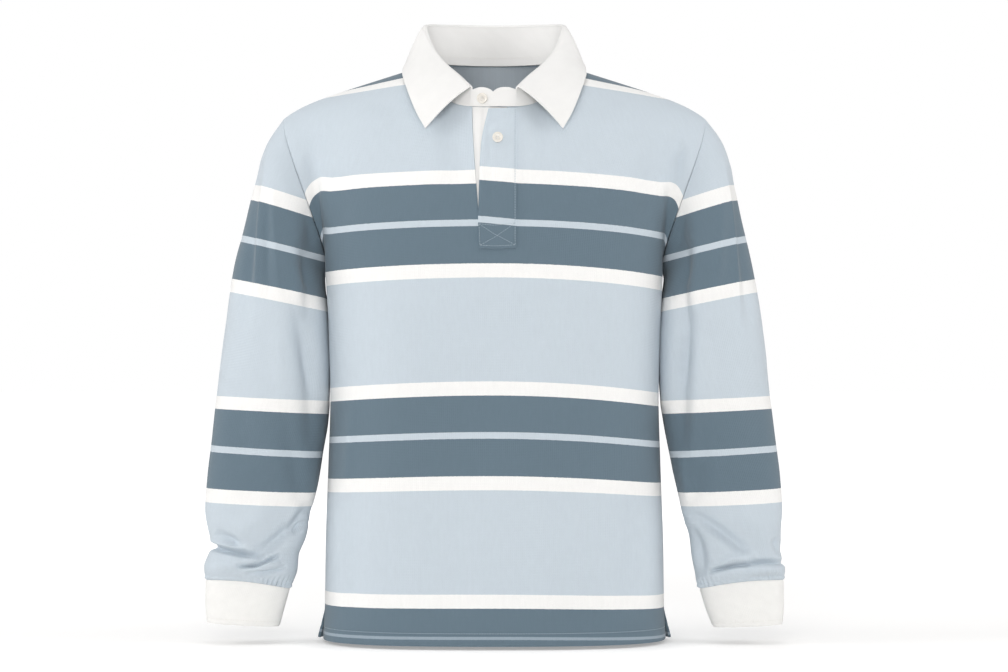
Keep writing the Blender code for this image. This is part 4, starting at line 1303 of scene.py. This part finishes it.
class ShirtColours(bpy.types.PropertyGroup):
    """Colours of cloths, buttons and threads, and of the painted highlight at the hem."""

    light: colour_setting("Light blue", "The broad light stripe", "#C5CFD7")
    dark: colour_setting("Slate blue", "The dark stripe", "#657783")
    white: colour_setting("White stripe", "The white stripe", "#F3F2F0")
    collar: colour_setting("Collar white", "Collar and facing", "#EDECEA")
    # The hem line's colour is a painted highlight on the ridge above the hem's fold
    hem_highlight: colour_setting("Hem line", "The pale line at the hem's fold", "#97A5B0")
    rib: colour_setting("Cuff white", "Cuffs", "#F3F2EF")
    button: colour_setting("Button ivory", "Buttons", "#E4DFD6")
    pale_blue_thread: colour_setting("Pale thread", "Thread on the stripes", "#A9B6BF")
    white_thread: colour_setting("White thread", "Thread on collar and cuffs", "#F0EEEA")


class ShirtStripes(bpy.types.PropertyGroup):
    """Widths of the stripes, up the cloth."""

    repeat: size_setting("Repeat", "Height of one whole repeat", 263 * MM)
    first_light: size_setting("First light band", "Where the lowest light band starts", 64.1 * MM)
    light_band: size_setting("Light band", "Height of the light band", 128 * MM)
    white_band: size_setting("White band", "Height of the white band", 17.5 * MM)
    dark_band: size_setting("Dark band", "Height of each dark band", 46 * MM)
    thin_band: size_setting("Thin light band", "Height of the thin line", 8 * MM)
    hem_dark: size_setting("Hem band", "Height of the dark cloth at the hem", 46.9 * MM)
    # Where the painted highlight above the hem's fold lies, and how wide it is
    hem_highlight: size_setting("Hem line", "Height of the light line by the hem's fold", 8.5 * MM)
    hem_highlight_width: size_setting("Hem line width", "Width of that light line", 3.7 * MM)


class ShirtStage(bpy.types.PropertyGroup):
    """Lights and floor."""

    sky: share_setting("Surrounding light", "Light from all round", 0.33, 1)
    side_power: power_setting("Side lights", "Power of each large side light", 34)
    front_power: power_setting("Front light", "Power of the light behind the camera", 50)
    top_power: power_setting("Top light", "Power of the light over the shoulders", 12)
    back_power: power_setting("Back light", "Power of the light behind", 30)
    floor_glow: share_setting("Floor glow", "Bleaches the floor near the shirt", 0.3, 1)


class SHIRT_OT_panels(bpy.types.Operator):
    """Makes the front and the back, sewn at the sides and shoulders"""

    bl_idname = "shirt.panels"
    bl_label = "Front and Back"

    def execute(self, context):
        for node, facing in (("front_panel", -1), ("back_panel", 1)):
            sheet, shares, rises, first_arch = panel(facing)
            choices = {}
            if facing > 0:
                out = np.clip(np.abs(shares) / LINING_SHARE, 0, 1)
                choices["lined"] = sheet.points[..., 2] > LINING_BOTTOM * np.sqrt(1 - out**2)
            else:
                left, right = shares[1:] < SLIT_LEFT_SHARE + SLACK, shares[:-1] > SLIT_RIGHT_SHARE - SLACK
                foot = first_arch + int(np.argmin(np.abs(rises - NOTCH_BOTTOM)))
                above = np.arange(len(sheet.points) - 1) >= foot
                choices["kept"] = ~(above[:, None] & (left & right)[None, :])
            walls = panel_walls(facing)
            add_cloth(node, "striped_jersey", walls, sheet.weave, "hung", **choices)
        return {"FINISHED"}


class SHIRT_OT_sleeves(bpy.types.Operator):
    """Makes both sleeves and the cuffs that they are gathered into"""

    bl_idname = "shirt.sleeves"
    bl_label = "Sleeves and Cuffs"

    def execute(self, context):
        for label, side in SIDES.items():
            sheet = sleeve(label)
            normals = sheet.normals.copy()
            normals[0] = without_lean(normals[0], seam_lean(side), 1)
            walls = sheet.points, sheet.points - normals * JERSEY_WALL
            node = f"sleeve_{label}"
            rests_on = ["front_panel_cloth", "back_panel_cloth"]
            add_cloth(node, "striped_jersey", walls, sheet.weave, "hung", rests_on, closed=True)
            sheet = cuff(label)
            walls, rests_on = sheet.walls(CUFF_WALL), [f"{node}_cloth"]
            add_cloth(f"cuff_{label}", "white_rib", walls, sheet.weave, "hung", rests_on, closed=True)
        return {"FINISHED"}


class SHIRT_OT_collar(bpy.types.Operator):
    """Makes the collar's stand and the leaf that turns down over it"""

    bl_idname = "shirt.collar"
    bl_label = "Collar"

    def execute(self, context):
        for node, sheet, held, rests_on in (
            ("collar_stand", stand(), "stretched", ["front_panel_cloth", "back_panel_cloth"]),
            ("collar_leaf", leaf(), "folded", ["collar_stand_cloth"]),
        ):
            add_cloth(node, "white_drill", sheet.walls(COLLAR_WALL), sheet.weave, held, rests_on)
        return {"FINISHED"}


class SHIRT_OT_placket(bpy.types.Operator):
    """Makes the striped band of the placket and the white facing under it"""

    bl_idname = "shirt.placket"
    bl_label = "Placket"

    def execute(self, context):
        walls = facing_strip()
        weave = lengths_along(walls[0], 1), lengths_along(walls[0], 0)
        rests_on = ["front_panel_cloth"]
        add_cloth("placket_facing", "white_drill", walls, weave, "laid", rests_on)
        walls, across, rises = band_strip()
        up = front_up(np.clip(across, 0, 1), rises) - BAND_STRIPE_RISE * np.clip(1 - across, 0, 1)
        weave = lengths_along(walls[0], 1), up
        rests_on = ["front_panel_cloth", "placket_facing_cloth"]
        add_cloth("placket_band", "striped_jersey", walls, weave, "laid", rests_on)
        return {"FINISHED"}


def deselect_all():
    """Leave object mode ready for one new primitive."""
    bpy.ops.object.select_all(action="DESELECT")


def pick_faces(piece, direction):
    """Go into edit mode with only the faces selected that look in a direction."""
    bpy.ops.object.mode_set(mode="EDIT")
    bpy.ops.mesh.select_mode(type="FACE")
    bpy.ops.mesh.select_all(action="DESELECT")
    bpy.ops.object.mode_set(mode="OBJECT")
    for face in piece.data.polygons:
        face.select = face.normal.dot(direction) > 0.9
    bpy.ops.object.mode_set(mode="EDIT")


def button_blank():
    """A button, turned with a rim and a dished face and drilled with four holes."""
    deselect_all()
    bpy.ops.mesh.primitive_cylinder_add(
        vertices=48, radius=BUTTON_RADIUS, depth=BUTTON_THICKNESS, location=(0, 0, BUTTON_THICKNESS / 2)
    )
    button = bpy.context.object
    pick_faces(button, Vector((0, 0, 1)))
    bpy.ops.mesh.inset(thickness=BUTTON_RADIUS * 0.24)
    bpy.ops.mesh.inset(thickness=BUTTON_RADIUS * 0.12)
    bpy.ops.transform.translate(value=(0, 0, -BUTTON_THICKNESS * 0.3))
    bpy.ops.object.mode_set(mode="OBJECT")
    rounding = button.modifiers.new("rounding", "BEVEL")
    rounding.width = 0.5 * MM
    rounding.segments = 3
    rounding.limit_method = "ANGLE"
    rounding.angle_limit = math.radians(35)
    bpy.ops.object.modifier_apply(modifier=rounding.name)
    for n in range(4):
        turn = math.tau * (n + 0.5) / 4
        centre = (HOLE_RING * math.cos(turn), HOLE_RING * math.sin(turn), 0)
        deselect_all()
        bpy.ops.mesh.primitive_cylinder_add(
            vertices=16, radius=0.8 * MM, depth=BUTTON_THICKNESS * 3, location=centre
        )
        drill = bpy.context.object
        deselect_all()
        button.select_set(True)
        bpy.context.view_layer.objects.active = button
        hole = button.modifiers.new("hole", "BOOLEAN")
        hole.operation = "DIFFERENCE"
        hole.object = drill
        bpy.ops.object.modifier_apply(modifier=hole.name)
        bpy.data.objects.remove(drill)
    bpy.ops.object.shade_smooth_by_angle(angle=math.radians(32))
    return button


class SHIRT_OT_buttons(bpy.types.Operator):
    """Makes the open button of the stand and the fastened one of the placket"""

    bl_idname = "shirt.buttons"
    bl_label = "Buttons"

    def execute(self, context):
        radius = context.scene.shirt_sizes.thread_radius
        for label, seat, normal in button_seats():
            button = button_blank()
            button.name = button.data.name = f"button_{label}_turned"
            button.data.materials.append(get_material(*MATERIALS["ivory_resin"]))
            turn = Vector((0, 0, 1)).rotation_difference(normal).to_matrix().to_4x4()
            place = Matrix.Translation(seat + normal * BUTTON_LIFT) @ turn
            button.data.transform(place @ button.matrix_world)
            button.matrix_world = Matrix.Identity(4)
            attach(button, "root")
            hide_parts(f"button_{label}")
            thread = stitch_shape(HOLE_RING * 2.1, radius * 1.3)
            frames = []
            for off in (-1, 1):
                off_centre = off * HOLE_RING * math.sin(math.pi / 4)
                centre = place @ Vector((0, off_centre, BUTTON_THICKNESS * 0.7 + radius))
                frames.append((centre, turn @ Vector((1, 0, 0)), normal))
            threads = copy_along(f"button_{label}_thread", thread, frames, thread_material("white"))
            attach(threads, "root")
        return {"FINISHED"}


def button_seats():
    """Where the two buttons sit, and the way that they face."""
    column = stand_section(NECK_BUTTON_ANGLE)
    beside = stand_section(NECK_BUTTON_ANGLE + SIDE_STEP)
    rise = (column[-1] - column[0]).normalized()
    normal = (beside[0] - column[0]).cross(rise).normalized()
    if normal.y > 0:
        normal = -normal
    yield "neck", column[0] + rise * NECK_BUTTON_HEIGHT, normal
    points, normals = strip_points(np.array([BAND_BUTTON_ACROSS]), np.array([BAND_BUTTON_RISE]))
    normal = Vector(normals[0])
    yield "placket", Vector(points[0]) + normal * (PLACKET_WALL + SEAM_GAP), normal


def stitch_shape(length, radius):
    """Corners and faces of one stitch: a short thread along X, thinner at its ends."""
    deselect_all()
    bpy.ops.mesh.primitive_cylinder_add(
        vertices=6, radius=radius, depth=length * 0.6, end_fill_type="NGON", rotation=(0, math.pi / 2, 0)
    )
    stitch = bpy.context.object
    bpy.ops.object.transform_apply(location=False, rotation=True, scale=False)
    for end in (-1, 1):
        pick_faces(stitch, Vector((end, 0, 0)))
        tip = (end * length * 0.2, 0, -radius * 0.5)
        bpy.ops.mesh.extrude_region_move(TRANSFORM_OT_translate={"value": tip})
        bpy.ops.transform.resize(value=(1, 0.35, 0.35))
        bpy.ops.object.mode_set(mode="OBJECT")
    # Extruding may number corners and faces differently in each run, so both are put in order
    places = [tuple(v.co) for v in stitch.data.vertices]
    corners = sorted(places)
    faces = [[corners.index(places[n]) for n in p.vertices] for p in stitch.data.polygons]
    bpy.data.objects.remove(stitch)
    starts = [face.index(min(face)) for face in faces]
    return np.array(corners), sorted(face[n:] + face[:n] for face, n in zip(faces, starts))


def copy_along(name, shape, frames, material):
    """Copies of a shape, one in each frame of a centre, a direction and a facing."""
    corners, faces = shape
    centres, along, facing = (np.array([list(f[n]) for f in frames]) for n in range(3))
    along = unit(along)
    facing = unit(facing - (facing * along).sum(axis=1, keepdims=True) * along)
    aside = np.cross(facing, along)
    x, y, z = (corners[None, :, n, None] for n in range(3))
    points = centres[:, None] + along[:, None] * x + aside[:, None] * y + facing[:, None] * z
    all_faces = [[i + n * len(corners) for i in face] for n in range(len(frames)) for face in faces]
    return new_piece(name, points.reshape(-1, 3), all_faces, material, 60)


def stitch_frames(points, normals, pitch, lift):
    """Frames of the stitches of one row of sewing."""
    lengths = lengths_along(points, 0)
    count = max(int(lengths[-1] / pitch), 1)
    places = (np.arange(count) + 0.5) * lengths[-1] / count

    def at(values, where):
        return np.stack([np.interp(where, lengths, values[:, n]) for n in range(3)], axis=-1)

    ahead, behind = at(points, places + pitch * 0.35), at(points, places - pitch * 0.35)
    facing = unit(at(normals, places))
    centres = at(points, places) + facing * lift
    return list(zip(centres, ahead - behind, facing))


def panel_row(facing, height):
    """A row of sewing round the front or back, at a height of the hanging cloth."""
    sheet = panel(facing)[0]
    count = sheet.points.shape[1]
    level = sheet.points[:, count // 2, 2]
    columns = np.linspace(0.6, count - 1.6, ROW_SAMPLES)
    rows = np.full_like(columns, np.interp(height, level, np.arange(len(level))))
    return sample(sheet.points, rows, columns), sample(sheet.normals, rows, columns)


def tube_row(sheet, height):
    """A row of sewing round a cuff, at a height above its free edge."""
    columns = np.linspace(0, TUBE_COLUMNS, ROW_SAMPLES)
    rows = np.full_like(columns, np.interp(-height, -sheet.up[:, 0], np.arange(len(sheet.up))))
    return sample(wrap(sheet.points), rows, columns), sample(wrap(sheet.normals), rows, columns)


def band_line(start, end):
    """A straight row of sewing on the placket, between two places across and up."""
    across, rises = (np.linspace(start[n], end[n], 60) for n in range(2))
    points, normals = strip_points(across, rises)
    return points + normals * (PLACKET_WALL + SEAM_GAP), normals


def stand_rows():
    """Rows of sewing on the stand: inside above the neck seam, and along its foot outside."""
    sheet = stand()
    outside, inside = sheet.walls(COLLAR_WALL)
    sections = np.arange(1, len(inside) - 1)
    for skin, normals, height in ((inside, -sheet.normals, 11 * MM), (outside, sheet.normals, 2 * MM)):
        places = np.array([np.interp(height, sheet.up[n], range(STAND_STEPS + 1)) for n in sections])
        yield sample(skin, sections, places), sample(normals, sections, places)


class SHIRT_OT_sewing(bpy.types.Operator):
    """Sews the hem, the cuffs, the placket and the collar, stitch by stitch"""

    bl_idname = "shirt.sewing"
    bl_label = "Sewing"

    def execute(self, context):
        sizes = context.scene.shirt_sizes
        stitch = stitch_shape(sizes.stitch_length, sizes.thread_radius)
        lift = sizes.thread_radius * 0.35
        hem_height = BODY_RINGS[0][0] * MM + sizes.hem_stitch
        edge = 1 - sizes.placket_stitch / SLIT_WIDTH
        foot = BAND_EDGE[0][0] + 0.02
        placket_lines = (
            ((edge, foot), (edge, BAND_TOP - 0.01)),
            ((0, foot), (edge, foot)),
            ((0, BOX_TOP), (edge, BOX_TOP)),
            ((0, foot), (0, BOX_TOP)),
            ((0, foot), (edge, BOX_TOP)),
            ((0, BOX_TOP), (edge, foot)),
        )
        for name, colour, rows in (
            ("hem_front_sewing", "pale_blue", [panel_row(-1, hem_height)]),
            ("hem_back_sewing", "pale_blue", [panel_row(1, hem_height)]),
            ("cuff_right_sewing", "white", [tube_row(cuff("right"), sizes.cuff_stitch)]),
            ("cuff_left_sewing", "white", [tube_row(cuff("left"), sizes.cuff_stitch)]),
            ("placket_sewing", "pale_blue", [band_line(*ends) for ends in placket_lines]),
            ("stand_sewing", "white", stand_rows()),
        ):
            frames = [f for row in rows for f in stitch_frames(*row, sizes.stitch_pitch, lift)]
            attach(copy_along(name, stitch, frames, thread_material(colour)), "root")
        return {"FINISHED"}


class SHIRT_OT_stage(bpy.types.Operator):
    """Sets the floor, the soft studio lights and the camera"""

    bl_idname = "shirt.stage"
    bl_label = "Stage"

    def execute(self, context):
        stage = context.scene.shirt_stage
        deselect_all()
        bpy.ops.mesh.primitive_circle_add(
            vertices=96, radius=FLOOR_RADIUS, fill_type="NGON", location=(0, 0, FLOOR_HEIGHT)
        )
        floor = bpy.context.object
        floor.name = "floor"
        floor.data.materials.append(get_material("studio_white_paper", studio_white))
        for name, place, width, power in (
            ("left_light", (-2.9, -0.5, 1.0), 1.3, stage.side_power),
            ("right_light", (2.9, -0.5, 1.0), 1.3, stage.side_power * 0.85),
            ("front_light", (-0.3, -3.4, 0.3), 1.8, stage.front_power),
            ("top_light", (0, -0.5, 2.1), 1.4, stage.top_power),
            ("back_light", (0, 3.0, 1.0), 1.8, stage.back_power),
        ):
            bpy.ops.object.light_add(type="AREA", location=place)
            light = bpy.context.object
            light.name = name
            light.data.size = width
            light.data.energy = power
            aim = Vector(LIGHT_AIM) - light.location
            light.rotation_euler = aim.to_track_quat("-Z", "Y").to_euler()
        world = bpy.data.worlds.new("studio")
        world.use_nodes = True
        # White behind the shirt, and a softer light from it on the cloth
        seen = add_node(world.node_tree, "LightPath").outputs["Is Camera Ray"]
        glow = add_node(world.node_tree, "MapRange", {"Value": seen, "To Min": stage.sky, "To Max": 1.0})
        set_inputs(world.node_tree.nodes["Background"], {"Color": (1, 1, 1, 1), "Strength": glow})
        context.scene.world = world
        context.scene.view_settings.view_transform = "Standard"
        bpy.ops.object.camera_add(location=CAMERA_PLACE, rotation=(math.radians(90 + CAMERA_TILT), 0, 0))
        camera = bpy.context.object
        camera.name = "camera"
        camera.data.lens = LENS
        camera.data.sensor_width = SENSOR_WIDTH
        camera.data.clip_end = 200
        context.scene.camera = camera
        return {"FINISHED"}


class SHIRT_PT_panel(bpy.types.Panel):
    """Lists the shirt's pieces in the order that they are made"""

    bl_label = "Rugby Polo Shirt"
    bl_idname = "SHIRT_PT_panel"
    bl_space_type = "VIEW_3D"
    bl_region_type = "UI"
    bl_category = "Shirt"

    def draw(self, context):
        for operator in OPERATORS:
            self.layout.operator(operator.bl_idname)
        for group in GROUPS:
            settings = getattr(context.scene, group)
            box = self.layout.box()
            for name in settings.bl_rna.properties.keys():
                if name not in ("rna_type", "name"):
                    box.prop(settings, name)


OPERATORS = (
    SHIRT_OT_stage,
    SHIRT_OT_panels,
    SHIRT_OT_sleeves,
    SHIRT_OT_collar,
    SHIRT_OT_placket,
    SHIRT_OT_buttons,
    SHIRT_OT_sewing,
)
GROUPS = {
    "shirt_sizes": ShirtSizes,
    "shirt_colours": ShirtColours,
    "shirt_stripes": ShirtStripes,
    "shirt_stage": ShirtStage,
}


def register():
    """Add the settings, the operators and the panel to Blender."""
    for cls in (*GROUPS.values(), *OPERATORS, SHIRT_PT_panel):
        bpy.utils.register_class(cls)
    for name, group in GROUPS.items():
        setattr(bpy.types.Scene, name, bpy.props.PointerProperty(type=group))


def unregister():
    """Take them out again."""
    for name in GROUPS:
        delattr(bpy.types.Scene, name)
    for cls in reversed((*GROUPS.values(), *OPERATORS, SHIRT_PT_panel)):
        bpy.utils.unregister_class(cls)


def main():
    """Make the whole shirt."""
    register()
    bpy.ops.shirt.stage()
    bpy.ops.shirt.panels()
    bpy.ops.shirt.sleeves()
    bpy.ops.shirt.collar()
    bpy.ops.shirt.placket()
    bpy.ops.shirt.buttons()
    bpy.ops.shirt.sewing()


if __name__ == "__main__":
    main()
